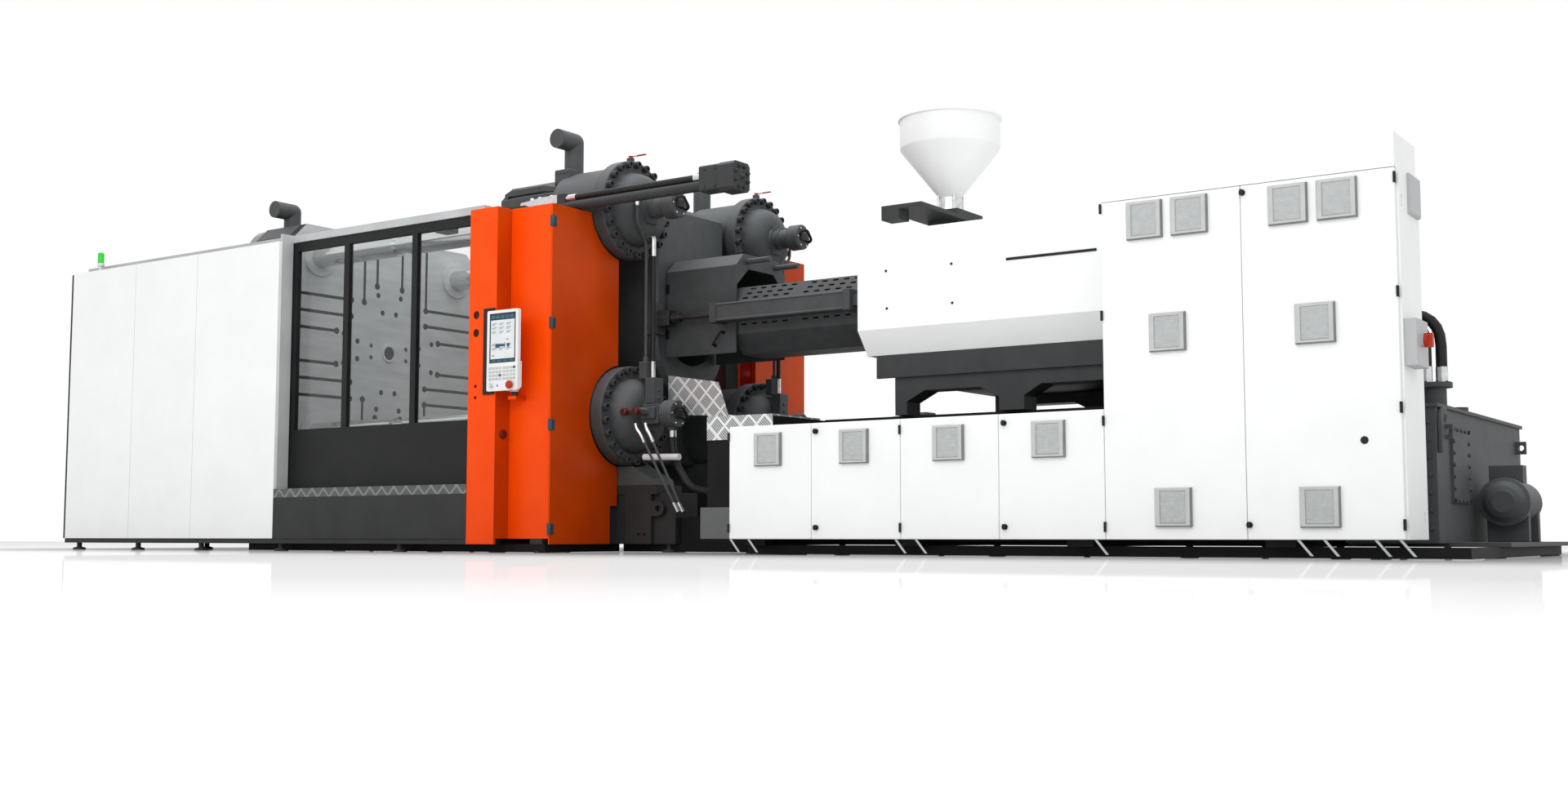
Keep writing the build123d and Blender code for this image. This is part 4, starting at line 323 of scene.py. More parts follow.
# %% Place and direction
def where(finish, axis=None):
    """The point on the machine, or one of its coordinates."""
    point = finish.node("ShaderNodeTexCoord", {}).outputs["Object"]
    if axis is None:
        return point
    return finish.node("ShaderNodeSeparateXYZ", {0: point}).outputs[axis]


def facing(finish, axis):
    """How far the surface looks along one axis, from -1 to 1."""
    normal = finish.node("ShaderNodeNewGeometry", {}).outputs["Normal"]
    return finish.node("ShaderNodeSeparateXYZ", {0: normal}).outputs[axis]


# %% [markdown]
# ## Uneven colour and soft edges
# No painted or ground surface has one flat colour, so soft noise runs between two close tones. A
# pressed or cast edge is never sharp either. Rounding every edge in the mesh would cost many
# faces. The Bevel node rounds them in the light alone, and a fine bump lies on top.

# %% Uneven colour and soft edges
def mottled(finish, scale, low, high, stretch=(1, 1, 1)):
    """Soft noise between two colours, and the noise itself."""
    mapping = finish.node("ShaderNodeMapping", {"Vector": where(finish), "Scale": stretch})
    noise = finish.node("ShaderNodeTexNoise", {"Vector": mapping.outputs[0], "Scale": scale, "Detail": 3})
    return finish.ramp(noise.outputs["Fac"], 0.3, 0.7, low, high), noise.outputs["Fac"]


def soft_edges(finish, radius, bump=None, strength=0.1, distance=0.001):
    """Round the edges in the light, with an optional bump on top."""
    normal = finish.node("ShaderNodeBevel", {"Radius": radius}, samples=4).outputs[0]
    if bump is not None:
        sockets = {"Height": bump, "Normal": normal, "Strength": strength, "Distance": distance}
        normal = finish.node("ShaderNodeBump", sockets).outputs[0]
    finish.links.new(normal, finish.shader.inputs["Normal"])


# %% [markdown]
# ## Paint
# Sprayed paint has a fine orange-peel grain. On the dark castings the tops are painted paler, a
# painted highlight of the light from above, mixed in where the surface looks up.

# %% Paint
PEEL_SCALE = 260


def painted_top_light(finish, color, top_light_tone):
    """Lighter paint where a surface looks up, a painted highlight of the light from above."""
    top_light_share = finish.remap(facing(finish, "Z"), -0.1, 1.0)
    return finish.mixed(top_light_share, color, rgb(top_light_tone))


def paint(name, low, high, rough, scale=6, edge=0.004, strength=0.05, distance=0.0006, top_light_tone=None,
          shine=0.5):
    """Paint with a faint change of tone and a fine orange-peel bump."""
    finish = Finish(name, rough, 0.0, shine)
    color, _ = mottled(finish, scale, rgb(low), rgb(high))
    # A given top tone adds a painted highlight: paler paint where the surface looks up.
    if top_light_tone:
        color = painted_top_light(finish, color, top_light_tone)
    finish.links.new(color, finish.shader.inputs["Base Color"])
    grain = finish.node("ShaderNodeTexNoise", {"Vector": where(finish), "Scale": PEEL_SCALE})
    soft_edges(finish, edge, grain.outputs["Fac"], strength, distance)
    return finish.material


def dull_paint(name, low, high, rough, scale, edge, shine):
    """Smooth paint with little shine."""
    return paint(name, low, high, rough, scale, edge, shine=shine)


# %% [markdown]
# ## Bare metal
# Ground and turned steel shows faint marks along one direction, so its noise is stretched.

# %% Bare metal
def steel(name, low, high, rough, stretch=(1, 1, 1), scale=30, edge=0.003):
    """Bare metal with faint machining marks along one direction."""
    finish = Finish(name, rough, 1.0)
    color, noise = mottled(finish, scale, rgb(low), rgb(high), stretch)
    finish.links.new(color, finish.shader.inputs["Base Color"])
    soft_edges(finish, edge, noise, 0.08, 0.0005)
    return finish.material


# %% [markdown]
# ## The machine's paints and metals
# The castings are rough and a little glossy, the covers smooth and white, and the parts under the
# machine almost black, partly as painted shade. Each name below is one finish of the real machine,
# but the paler tops of the castings are a painted highlight.

# %% The machine's paints and metals
WHITE = paint("white cover paint", "#f4f5f5", "#f8f9f9", 0.45, 3, 0.004)
# The castings and the frame get a paler top tone, a painted highlight of the light from above.
IRON = paint("dark casting paint", "#3f4243", "#484b4c", 0.6, 9, 0.008, 0.25, 0.0015, "#696c6f", 0.3)
FRAME_GREY = paint("dark frame paint", "#2d2f30", "#353738", 0.55, 6, 0.005, top_light_tone="#484b4d", shine=0.3)
# Near black, partly the plinth's own dark paint and partly painted shade under the machine; the shade sheets
# below the beds use it too.
PLINTH_BLACK_AND_SHADE = dull_paint("black plinth paint", "#0a0a0b", "#101111", 0.6, 6, 0.003, 0.2)
DOOR_GREY = dull_paint("dark door paint", "#141516", "#1a1b1c", 0.5, 4, 0.003, 0.25)
KICK_GREY = dull_paint("dark lower panel paint", "#2b2c2c", "#313232", 0.5, 4, 0.003, 0.25)
POST_SILVER = paint("silver post paint", "#b6b9ba", "#c2c5c6", 0.4, 4, 0.003)
BLACK = dull_paint("black plastic", "#060707", "#0d0e0e", 0.45, 20, 0.002, 0.35)
RUBBER = dull_paint("black rubber", "#0b0c0c", "#131414", 0.55, 30, 0.002, 0.4)
PANEL_WHITE = paint("panel plastic", "#dcdedf", "#e6e8e9", 0.4, 8, 0.003)
RED = dull_paint("red plastic", "#a82a08", "#bd340c", 0.35, 20, 0.002, 0.3)
SENSOR_RED = paint("dark red cap", "#4a0a08", "#5e100c", 0.4, 20, 0.002)
TEAL = paint("dark teal hinge", "#183742", "#204552", 0.45, 20, 0.002)
HOPPER_WHITE = paint("hopper shell", "#eceded", "#f3f4f4", 0.35, 3, 0.002)
STEEL = steel("machined steel", "#8d8f90", "#a6a8a9", 0.42, (1, 1, 6))
DARK_STEEL = steel("oiled steel", "#5b5d5e", "#6d6f70", 0.42, (0.3, 4, 4), 14)
CHROME = steel("chrome bar", "#c4c6c7", "#dcdedf", 0.16, (0.2, 4, 4), 12)
BRIGHT = steel("bright fitting", "#c4c6c7", "#dfe0e1", 0.25)
print("paints and metals", len(bpy.data.materials))

# %% [markdown]
# ## Paint with a zone
# Some pieces carry two colours: the cable box at the end of the cabinet row is grey, and so is the
# switch box on the electric cabinet. The same grey zone also takes in the electric cabinet's end
# face, where it is painted shade. The piece could be cut in two, but a test on the place keeps it
# whole. Each test names an axis, a side of a limit and the limit itself.

# %% Paint with a zone
def zoned_paint(name, low, high, zone, tests, rough=0.45, edge=0.004, shine=0.5):
    """Paint with a second colour inside one zone."""
    finish = Finish(name, rough, 0.0, shine)
    color, _ = mottled(finish, 4, rgb(low), rgb(high))
    inside = 1.0
    for axis, side, limit in tests:
        operation = "GREATER_THAN" if side == "above" else "LESS_THAN"
        test = finish.compute(operation, where(finish, axis), limit)
        inside = finish.compute("MULTIPLY", test, inside)
    color = finish.mixed(inside, color, rgb(zone))
    finish.links.new(color, finish.shader.inputs["Base Color"])
    soft_edges(finish, edge)
    return finish.material


CABLE_BOX = (("X", "below", 1.5), ("Z", "below", 0.33))
# The cabinet end zone takes the grey switch box, and paints shade on the cabinet's end face.
SHADED_END_AND_SWITCH_BOX = (("X", "above", 5.739),)
LEVER_BAND = (("X", "above", -0.110), ("X", "below", -0.070))
HOUSING_UNDERSIDE = (("Z", "below", 1.162),)
CABINET_PAINT = zoned_paint("lower cabinet paint", "#f4f5f5", "#f8f9f9", "#5d5f60", CABLE_BOX)
ELECTRIC_PAINT = zoned_paint("electric cabinet paint", "#f4f5f5", "#f8f9f9", "#b4b6b7", SHADED_END_AND_SWITCH_BOX)
LEVER_PAINT = zoned_paint("lever grip", "#a82a08", "#bd340c", "#dcd8d2", LEVER_BAND, 0.4, 0.002, 0.3)
HOUSING_PAINT = zoned_paint("panel housing", "#e6e8e9", "#eff1f1", "#1a1c1d", HOUSING_UNDERSIDE, 0.4, 0.003)
print("zoned paints", 4)

# %% [markdown]
# ## The orange column
# The column's side towards the injection unit lies in much deeper shade than its front, and its foot
# in a little deeper shade than its top. Stronger lamps could do that, but the white covers would
# burn out. So that shade is painted into the colour, chosen by the direction in which the surface
# looks and, for the foot, by height.

# %% The orange column
SIDE_SHADE_STARTS, SIDE_SHADE_FULL = 0.2, 0.8
FOOT_REACH, FOOT_SHADE_TONE = 2.3, 0.92


def column_paint():
    """Orange paint with painted shade on the side that faces the injection unit and towards its foot."""
    finish = Finish("orange paint", 0.32, 0.0, 0.12)
    front, _ = mottled(finish, 3, rgb("#fa4a02"), rgb("#ff5206"))
    # The side colour is painted shade, a deeper orange for faces turned towards the injection unit.
    side, _ = mottled(finish, 2, rgb("#b83a02"), rgb("#cc4604"))
    side_shade_share = finish.remap(facing(finish, "X"), SIDE_SHADE_STARTS, SIDE_SHADE_FULL)
    # Painted shade deepens the colour towards the column's foot.
    foot = finish.remap(where(finish, "Z"), 0.0, FOOT_REACH, FOOT_SHADE_TONE)
    color = finish.mixed(1.0, finish.mixed(side_shade_share, front, side), foot, "MULTIPLY")
    finish.links.new(color, finish.shader.inputs["Base Color"])
    soft_edges(finish, 0.006)
    return finish.material


ORANGE = column_paint()
print("column", ORANGE.name)

# %% [markdown]
# ## The clear panes
# The safety door has sheets of clear plastic, several millimetres thick. Real refraction would
# cost time and noise and change little on a flat sheet, so a transparent shader lets the mould
# space show through, with a little gloss over it.

# %% The clear panes
SHEEN = 0.05


def clear_pane():
    """Clear plastic sheet with a faint sheen and very slight unevenness."""
    finish = Finish("clear pane", 0.04)
    color, _ = mottled(finish, 1.2, rgb("#f4f6f6"), rgb("#fafbfb"))
    clear = finish.node("ShaderNodeBsdfTransparent", {"Color": color})
    gloss = finish.node("ShaderNodeBsdfGlossy", {"Roughness": 0.05})
    mix = finish.node("ShaderNodeMixShader", {0: SHEEN, 1: clear.outputs[0], 2: gloss.outputs[0]})
    finish.links.new(mix.outputs[0], finish.nodes["Material Output"].inputs["Surface"])
    return finish.material


PANE = clear_pane()
print("pane", PANE.name)

# %% [markdown]
# ## Chequer plate
# The treads are aluminium plate with a raised pattern: a light lattice of diamonds, and short
# bars inside each. The pattern is far too fine for the mesh. Two ripples across the plate make
# the lattice, a third makes the bars, and their height drives both the colour and the bump. The
# step under the door is duller than the treads.

# %% Chequer plate
LATTICE_PITCH, BAR_PITCH, BAR_HEIGHT = 0.135, 0.021, 0.72
DULL_STEP_X = -0.85


def ripple(finish, run, pitch):
    """Height from 0 to 1 that repeats at a pitch along one run of the pattern."""
    wave = finish.compute("SINE", finish.compute("MULTIPLY", run, 2 * math.pi / pitch))
    return finish.remap(wave, -1.0, 1.0)


def chequer_plate():
    """Aluminium tread plate: a light diamond lattice with short bars inside each diamond."""
    finish = Finish("chequer plate", 0.4, 0.55)
    along = where(finish, "X")
    across = finish.compute("ADD", where(finish, "Y"), where(finish, "Z"))
    rising = finish.compute("ADD", along, across)
    falling = finish.compute("SUBTRACT", along, across)
    lattice = finish.compute("MAXIMUM", ripple(finish, rising, LATTICE_PITCH),
                             ripple(finish, falling, LATTICE_PITCH))
    bars = finish.compute("MULTIPLY", ripple(finish, rising, BAR_PITCH), BAR_HEIGHT)
    height = finish.compute("MAXIMUM", finish.remap(lattice, 0.86, 0.97), bars)
    color = finish.ramp(height, 0.1, 0.95, rgb("#6c6f70"), rgb("#eceeee"))
    on_step = finish.compute("LESS_THAN", along, DULL_STEP_X)
    color = finish.mixed(on_step, color, rgb("#8f9191"), "MULTIPLY")
    finish.links.new(color, finish.shader.inputs["Base Color"])
    soft_edges(finish, 0.002, height, 0.5, 0.003)
    return finish.material


CHEQUER = chequer_plate()
print("treads", CHEQUER.name)

# %% [markdown]
# ## Platens
# A platen is a painted casting whose mould face is ground bright, with T-slots cut into it. The
# faces could be given their own material slots, but the CAD mesh stays as it is, so the place
# decides again: bright within a millimetre or two of the mould face, and a near-black painted
# shade just behind it, where the slots are. The casting paint is paler on top, a painted highlight.

# %% Platens
FACE_SKIN = 0.0015
SLOT_MIDDLE, SLOT_HALF_DEPTH, SLOT_HALF_WIDTH = 0.046, 0.0445, 1.08
CASTING = ("#424546", "#4b4e4f")
GROUND = ("#b4b6b7", "#c6c8c9")
MOVING_FACE, FIXED_FACE = -3.755, -1.25


def platen_finish(name, face_x, inside):
    """Casting paint, ground steel on the mould face, and painted shade in the slots behind that."""
    finish = Finish(name, 0.5, 0.0, 0.3)
    along = where(finish, "X")
    operation = "GREATER_THAN" if inside < 0 else "LESS_THAN"
    on_face = finish.compute(operation, along, face_x + inside * FACE_SKIN)
    deep = finish.compute("COMPARE", along, face_x + inside * SLOT_MIDDLE, SLOT_HALF_DEPTH)
    within = finish.compute("COMPARE", where(finish, "Y"), 0.0, SLOT_HALF_WIDTH)
    slot_shade = finish.compute("MULTIPLY", deep, within)
    painted, grain = mottled(finish, 8, rgb(CASTING[0]), rgb(CASTING[1]))
    painted = painted_top_light(finish, painted, "#54575a")
    ground, _ = mottled(finish, 3, rgb(GROUND[0]), rgb(GROUND[1]), (1, 1, 5))
    # Near-black painted shade in the slots, behind the bright mould face.
    color = finish.mixed(on_face, finish.mixed(slot_shade, painted, rgb("#191a1a")), ground)
    finish.links.new(color, finish.shader.inputs["Base Color"])
    soft_edges(finish, 0.006, grain, 0.05)
    return finish.material


MOVING = platen_finish("moving platen", MOVING_FACE, -1)
FIXED = platen_finish("fixed platen", FIXED_FACE, 1)
print("materials", len(bpy.data.materials))

# %% [markdown]
# ## Which piece has which finish
# Every CAD node gets its finish here, by name. Nodes that a finer piece replaces further down get
# one as well, so that none is left bare.

# %% Finishes of the CAD nodes
NODE_MATERIALS = {
    "clamp_covers": WHITE, "electric_cabinet": ELECTRIC_PAINT, "lower_cabinet": CABINET_PAINT,
    "electric_door_left": WHITE, "electric_door_right": WHITE, "cabinet_door_1": WHITE,
    "cabinet_door_2": WHITE, "cabinet_door_3": WHITE, "cabinet_door_4": WHITE,
    "injection_cover": WHITE, "signal_lamp": PANEL_WHITE, "corner_columns": ORANGE,
    "column_door": ORANGE, "clamp_bed": KICK_GREY, "injection_bed": PLINTH_BLACK_AND_SHADE,
    "front_door_frame": DOOR_GREY, "rear_gate": FRAME_GREY, "injection_carriage": FRAME_GREY,
    "hydraulic_tank": IRON, "moving_platen": MOVING, "fixed_platen": FIXED,
    "clamp_cylinders": IRON, "cylinder_covers": IRON, "pump_motor": IRON,
    "door_tracks": POST_SILVER, "levelling_feet": FRAME_GREY, "ejector_plate": STEEL,
    "lock_nuts_upper": STEEL, "lock_nuts_lower": STEEL, "traverse_cylinders": FRAME_GREY,
    "hydraulic_pipes": IRON, "hopper": PANEL_WHITE, "hopper_slide": FRAME_GREY,
    "carriage_cylinders": IRON, "barrel": STEEL, "barrel_cover": IRON, "purge_guard": IRON,
    "tie_bars": CHROME, "traverse_rods": CHROME, "carriage_rods": DARK_STEEL,
    "plasticising_screw": CHROME, "screw_drive": IRON, "chequer_plates": CHEQUER,
    "clamp_screws": FRAME_GREY, "cabinet_hinges": BLACK, "front_door_panes": PANE,
    "hydraulic_hoses": RUBBER, "control_housing": HOUSING_PAINT, "hopper_base": FRAME_GREY,
    "emergency_stop": RED, "main_switch_handle": RED, "bleed_lever_front": LEVER_PAINT,
    "bleed_lever_rear": LEVER_PAINT, "mode_selector": BRIGHT, "cabinet_knob_1_upper": BLACK,
    "cabinet_knob_1_lower": BLACK, "cabinet_knob_2_upper": BLACK, "cabinet_knob_2_lower": BLACK,
    "electric_knob_upper": BLACK, "electric_knob_lower": BLACK,
}
for name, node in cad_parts.items():
    node.data.materials.clear()
    node.data.materials.append(NODE_MATERIALS[name])
print("nodes with a finish", len(NODE_MATERIALS))

# %% [markdown]
# ## Clamp cylinders
# Four short, heavy cylinders pull the tie bars and hold the mould shut. Each has a barrel, a thick
# flange, a domed cover and a slim housing for the position sensor. They are turned parts, so two
# profiles make each of them. The CAD solids have the same outline with plainer edges.

# %% Clamp cylinders
BARREL_REAR, BARREL_R, BORE_R = -0.649, 0.342, 0.286
FLANGE_R, FLANGE_ROUND = 0.377, 0.006
HOUSING_END = 0.430


def clamp_cylinder(piece, y, z):
    """Barrel, flange and cover of one clamp cylinder."""
    piece.turned("x", (0, y, z), [
        (BARREL_REAR, BORE_R), (BARREL_REAR, BARREL_R), (-0.240, BARREL_R), (-0.215, 0.350), (-0.195, 0.366),
        (FLANGE_REAR, 0.374), (FLANGE_REAR + FLANGE_ROUND, FLANGE_R), (FLANGE_FRONT - FLANGE_ROUND, FLANGE_R),
        (FLANGE_FRONT, 0.371), (FLANGE_FRONT, BORE_R)], 96)
    x = FLANGE_FRONT
    piece.turned("x", (0, y, z), [
        (x - 0.02, 0.284), (x, 0.284), (x + 0.012, 0.282), (x + 0.055, 0.272), (x + 0.095, 0.255),
        (x + 0.125, 0.226), (x + 0.142, 0.190), (x + 0.150, 0.150), (x + 0.150, 0.104),
        (x + 0.166, 0.098), (x + 0.170, 0.080), (x + 0.318, 0.078), (x + 0.320, 0.100),
        (x + 0.326, 0.106), (x + 0.420, 0.105), (x + HOUSING_END, 0.096), (x + HOUSING_END, 0.0)], 72)
    piece.box((x + 0.145, y - 0.060, z - 0.126), (x + 0.172, y + 0.060, z + 0.126), 0.016, 2)
    piece.turned("x", (0, y, z), [(x + 0.205, 0.079), (x + 0.207, 0.090), (x + 0.226, 0.090),
                                  (x + 0.228, 0.079)], 48)


def cylinder_ports(piece, y, z):
    """Threaded ports on the cover for the pipe and the hoses."""
    if z < AXIS_Z:
        piece.turned("z", (0.287, y, 0), [(0.900, 0.028), (0.900, 0.034), (0.904, 0.036), (0.946, 0.036)], 28)
        return
    out = math.copysign(0.182, y)
    for py, pz, end in ((y, z - 0.228, 0.052), (y + out, 2.664, 0.062)):
        piece.turned("x", (0, py, pz), [(-0.03, 0.024), (end - 0.003, 0.024), (end, 0.021), (end, 0.0)], 24)


cylinders = Piece()
for y, z in TIE_CENTRES:
    clamp_cylinder(cylinders, y, z)
    cylinder_ports(cylinders, y, z)
cylinders.done("clamp_cylinder_bodies", "machine", [IRON],
               ("clamp_cylinders", "cylinder_covers"))

# %% [markdown]
# ## Ring screws
# Socket screws hold each cover on its flange. One screw could be an object copied round the ring,
# but a single mesh loads faster and rides as one piece. Each head has a socket, because the low
# camera looks straight into it.

# %% Ring screws
SCREWS = 22
SCREW_CIRCLE_R = 0.348
HEAD_R, HEAD_HEIGHT, SOCKET_R, SOCKET_DEPTH = 0.027, 0.042, 0.0155, 0.02


def socket_screw(piece, x, y, z):
    """Cap screw head with a chamfered rim and a socket."""
    floor = HEAD_HEIGHT - SOCKET_DEPTH
    piece.turned("x", (x, y, z), [
        (0, HEAD_R), (HEAD_HEIGHT - 0.004, HEAD_R), (HEAD_HEIGHT, HEAD_R - 0.004), (HEAD_HEIGHT, SOCKET_R),
        (floor, SOCKET_R - 0.001), (floor, 0.0)], 20)


screws = Piece()
for y, z in TIE_CENTRES:
    for i in range(SCREWS):
        angle = 2 * math.pi * (i + 0.5) / SCREWS
        socket_screw(screws, FLANGE_FRONT, y + SCREW_CIRCLE_R * math.cos(angle),
                     z + SCREW_CIRCLE_R * math.sin(angle))
screws.done("clamp_cylinder_screws", "machine", [FRAME_GREY], ("clamp_screws",))

# %% [markdown]
# ## Sensor connectors
# A black connector with a short looped lead sits on the end of each sensor housing, inside a ring
# of six small bright screws. The loop is a bent tube that starts and ends in the connector.

# %% Sensor connectors
END_SCREWS = 6


def connector(piece, x, y, z):
    """Black looped connector at the end of a sensor housing."""
    piece.box((x, y - 0.045, z - 0.032), (x + 0.016, y + 0.045, z + 0.032), 0.006)
    piece.tube([(x + 0.010, y - 0.050, z + 0.02), (x + 0.030, y - 0.050, z + 0.045),
                (x + 0.066, y - 0.036, z + 0.045), (x + 0.066, y + 0.030, z - 0.03),
                (x + 0.030, y + 0.040, z - 0.045), (x + 0.010, y + 0.040, z - 0.03)], 0.011, 0.03, 10)


plugs = Piece()
for y, z in TIE_CENTRES:
    plugs.slot = 0
    connector(plugs, FLANGE_FRONT + HOUSING_END, y, z)
    plugs.slot = 1
    for i in range(END_SCREWS):
        angle = 2 * math.pi * i / END_SCREWS
        centre = (FLANGE_FRONT + HOUSING_END, y + 0.08 * math.cos(angle), z + 0.08 * math.sin(angle))
        plugs.turned("x", centre, [(0, 0.008), (0.008, 0.008), (0.010, 0.006), (0.010, 0)], 10)
plugs.done("sensor_connectors", "machine", [BLACK, BRIGHT])

# %% [markdown]
# ## Tie bars
# Four polished bars run through the platens. The lock nuts close on two grooved places of each
# bar, one for the open and one for the shut machine, and a piston ends it in its cylinder.
# The whole bar is one profile, turned once.

# %% Tie bars
BAR_R, GROOVE_R, PISTON_R, BAR_END = 0.095, 0.075, 0.285, -5.85
LOCK_X, LOCK_STROKE = -4.3803, 1.75
GROOVE = 0.082


def tie_bar(piece, y, z):
    """One polished tie bar with two grooves and its piston."""
    profile = [(BAR_END, 0.0), (BAR_END, BAR_R - 0.005), (BAR_END + 0.005, BAR_R)]
    for x in (LOCK_X, LOCK_X + LOCK_STROKE):
        profile += [(x - GROOVE, BAR_R), (x - GROOVE, GROOVE_R), (x + GROOVE, GROOVE_R), (x + GROOVE, BAR_R)]
    profile += [(-0.43, BAR_R), (-0.43, PISTON_R), (-0.27, PISTON_R), (-0.27, 0.0)]
    piece.turned("x", (0, y, z), profile, 64)


bars = Piece()
for y, z in TIE_CENTRES:
    tie_bar(bars, y, z)
bars.done("polished_tie_bars", "ties", [CHROME], ("tie_bars",))

# %% [markdown]
# ## Hopper
# The hopper holds the plastic granules. It is spun from sheet, with a rolled rim and an open
# mouth, so a closed profile with a real wall is turned. A bright neck with four studs carries it.

# %% Hopper
HOPPER_X = 2.19
bowl = Piece()
bowl.turned("z", (HOPPER_X, 0, 0), [
    (2.580, 0.070), (2.915, 0.357), (3.141, 0.357), (3.145, 0.360), (3.145, 0.366), (3.141, 0.375),
    (3.125, 0.377), (3.121, 0.368), (3.117, 0.363), (2.925, 0.363), (2.912, 0.360), (2.560, 0.082),
    (2.552, 0.078), (2.552, 0.070)], 96, True)
bowl.done("hopper_bowl", "feed", [HOPPER_WHITE], ("hopper",))
neck = Piece()
neck.turned("z", (HOPPER_X, 0, 0), [(2.440, 0.071), (2.440, 0.115), (2.460, 0.115), (2.462, 0.084),
                                    (2.556, 0.084), (2.556, 0.071)], 48, True)
for i in range(4):
    angle = math.radians(45 + 90 * i)
    x, y = HOPPER_X + 0.09 * math.cos(angle), 0.09 * math.sin(angle)
    neck.box((x - 0.008, y - 0.008, 2.455), (x + 0.008, y + 0.008, 2.58), 0.002)
neck.done("hopper_neck", "feed", [BRIGHT])

# %% [markdown]
# ## Filters
# The cabinets breathe through plastic filter units: a bevelled frame round an insert of fine
# slats. The frame's lower and right-hand edges lie in shade, which is painted on them as a darker
# grey. Each slat is a small sloping shelf, which catches the light as the real ones do.

# %% Filters
FILTER_W, FILTER_H, PROUD = 0.206, 0.212, 0.026
RIM, RIM_UPRIGHT, SLATS = 0.030, 0.018, 22
FILTER_PAINT = paint("filter plastic", "#b9bbbb", "#c2c4c4", 0.5, 12, 0.002)
INSERT_PAINT = paint("filter insert", "#d4d6d6", "#dddfdf", 0.6, 30, 0.001)
RIM_SHADE = dull_paint("filter rim", "#7c7e7e", "#868888", 0.6, 12, 0.001, 0.2)


def rectangle(x, z, width, height, inset_x, inset_z):
    """Four corners of a rectangle, drawn in from its outline, lower left first."""
    x0, x1 = x + inset_x, x + width - inset_x
    z0, z1 = z + inset_z, z + height - inset_z
    return [(x0, z0), (x1, z0), (x1, z1), (x0, z1)]


def filter_unit(piece, x, top):
    """Filter housing on the front, its top left corner at (x, top)."""
    z, out = top - FILTER_H, FRONT - PROUD
    outer = rectangle(x, z, FILTER_W, FILTER_H, 0, 0)
    edge = rectangle(x, z, FILTER_W, FILTER_H, 0.006, 0.006)
    inner = rectangle(x, z, FILTER_W, FILTER_H, RIM, RIM_UPRIGHT)
    rings = [(outer, FRONT), (outer, out + 0.007), (edge, out), (inner, out), (inner, out + 0.008)]
    rows = [[piece.mesh.verts.new((px, py, pz)) for px, pz in ring] for ring, py in rings]
    for level, (one, two) in enumerate(zip(rows, rows[1:])):
        for i in range(4):
            j = (i + 1) % 4
            # The lower and right-hand outer faces of the frame take the painted shade.
            piece.slot = 2 if level < 2 and i < 2 else 0
            piece.face([one[i], one[j], two[j], two[i]])
    piece.slot = 1
    (x0, z0), (x1, z1) = inner[0], inner[2]
    step = (z1 - z0) / SLATS
    for i in range(SLATS):
        low = z0 + i * step
        verts = [(x0, out + 0.010, low), (x1, out + 0.010, low),
                 (x1, out + 0.002, low + step * 0.8), (x0, out + 0.002, low + step * 0.8),
                 (x0, out + 0.010, low + step), (x1, out + 0.010, low + step)]
        piece.faces_of(verts, [(0, 1, 2, 3), (3, 2, 5, 4)])


print("filter", FILTER_W, "by", FILTER_H, "with", SLATS, "slats")

# %% [markdown]
# ## Cabinet doors
# The cabinet row has four doors, and the electric cabinet has two tall ones. Each door is a pressed
# sheet with a rounded edge and a narrow gap to its neighbour. Sheet and filters ride on the
# door's own body, so they swing together.

# %% Cabinet doors
SEAMS = [1.522, 2.161, 2.808, 3.469, 4.127]
SEAM_GAP, SHEET = 0.0015, 0.022
SILL, ROW_TOP, ELECTRIC_TOP = 0.1, 0.825, 1.99
ROW_FILTER_TOP = 0.776
DOOR_SHEETS = {
    "cabinet_door_1": (SEAMS[0], SEAMS[1], ROW_TOP, "door_1", [(1.732, ROW_FILTER_TOP)]),
    "cabinet_door_2": (SEAMS[1], SEAMS[2], ROW_TOP, "door_2", [(2.380, ROW_FILTER_TOP)]),
    "cabinet_door_3": (SEAMS[2], SEAMS[3], ROW_TOP, "door_3", [(3.040, ROW_FILTER_TOP)]),
    "cabinet_door_4": (SEAMS[3], SEAMS[4], ROW_TOP, "door_4", [(3.688, ROW_FILTER_TOP)]),
    "electric_door_left": (4.127, 4.927, ELECTRIC_TOP, "door_left",
                           [(4.286, 1.970), (4.543, 1.970), (4.408, 1.337), (4.423, 0.381)]),
    "electric_door_right": (4.927, 5.727, ELECTRIC_TOP, "door_right",
                            [(5.081, 1.965), (5.335, 1.965), (5.208, 1.326), (5.209, 0.374)]),
}
for node, (x0, x1, top, body, filters) in DOOR_SHEETS.items():
    sheet = Piece()
    sheet.box((x0 + SEAM_GAP, FRONT, SILL), (x1 - SEAM_GAP, FRONT + SHEET, top), 0.003)
    sheet.done(node + "_sheet", body, [WHITE], (node,))
    units = Piece()
    for x, filter_top in filters:
        filter_unit(units, x, filter_top)
    units.done(node + "_filters", body, [FILTER_PAINT, INSERT_PAINT, RIM_SHADE], sharp=25)

# %% [markdown]
# ## Door locks
# A quarter-turn lock has a round black escutcheon, an oval wing to turn, a shank through the door
# and a cam behind it. The lock is its own body in the model, so that it turns before the door
# opens.

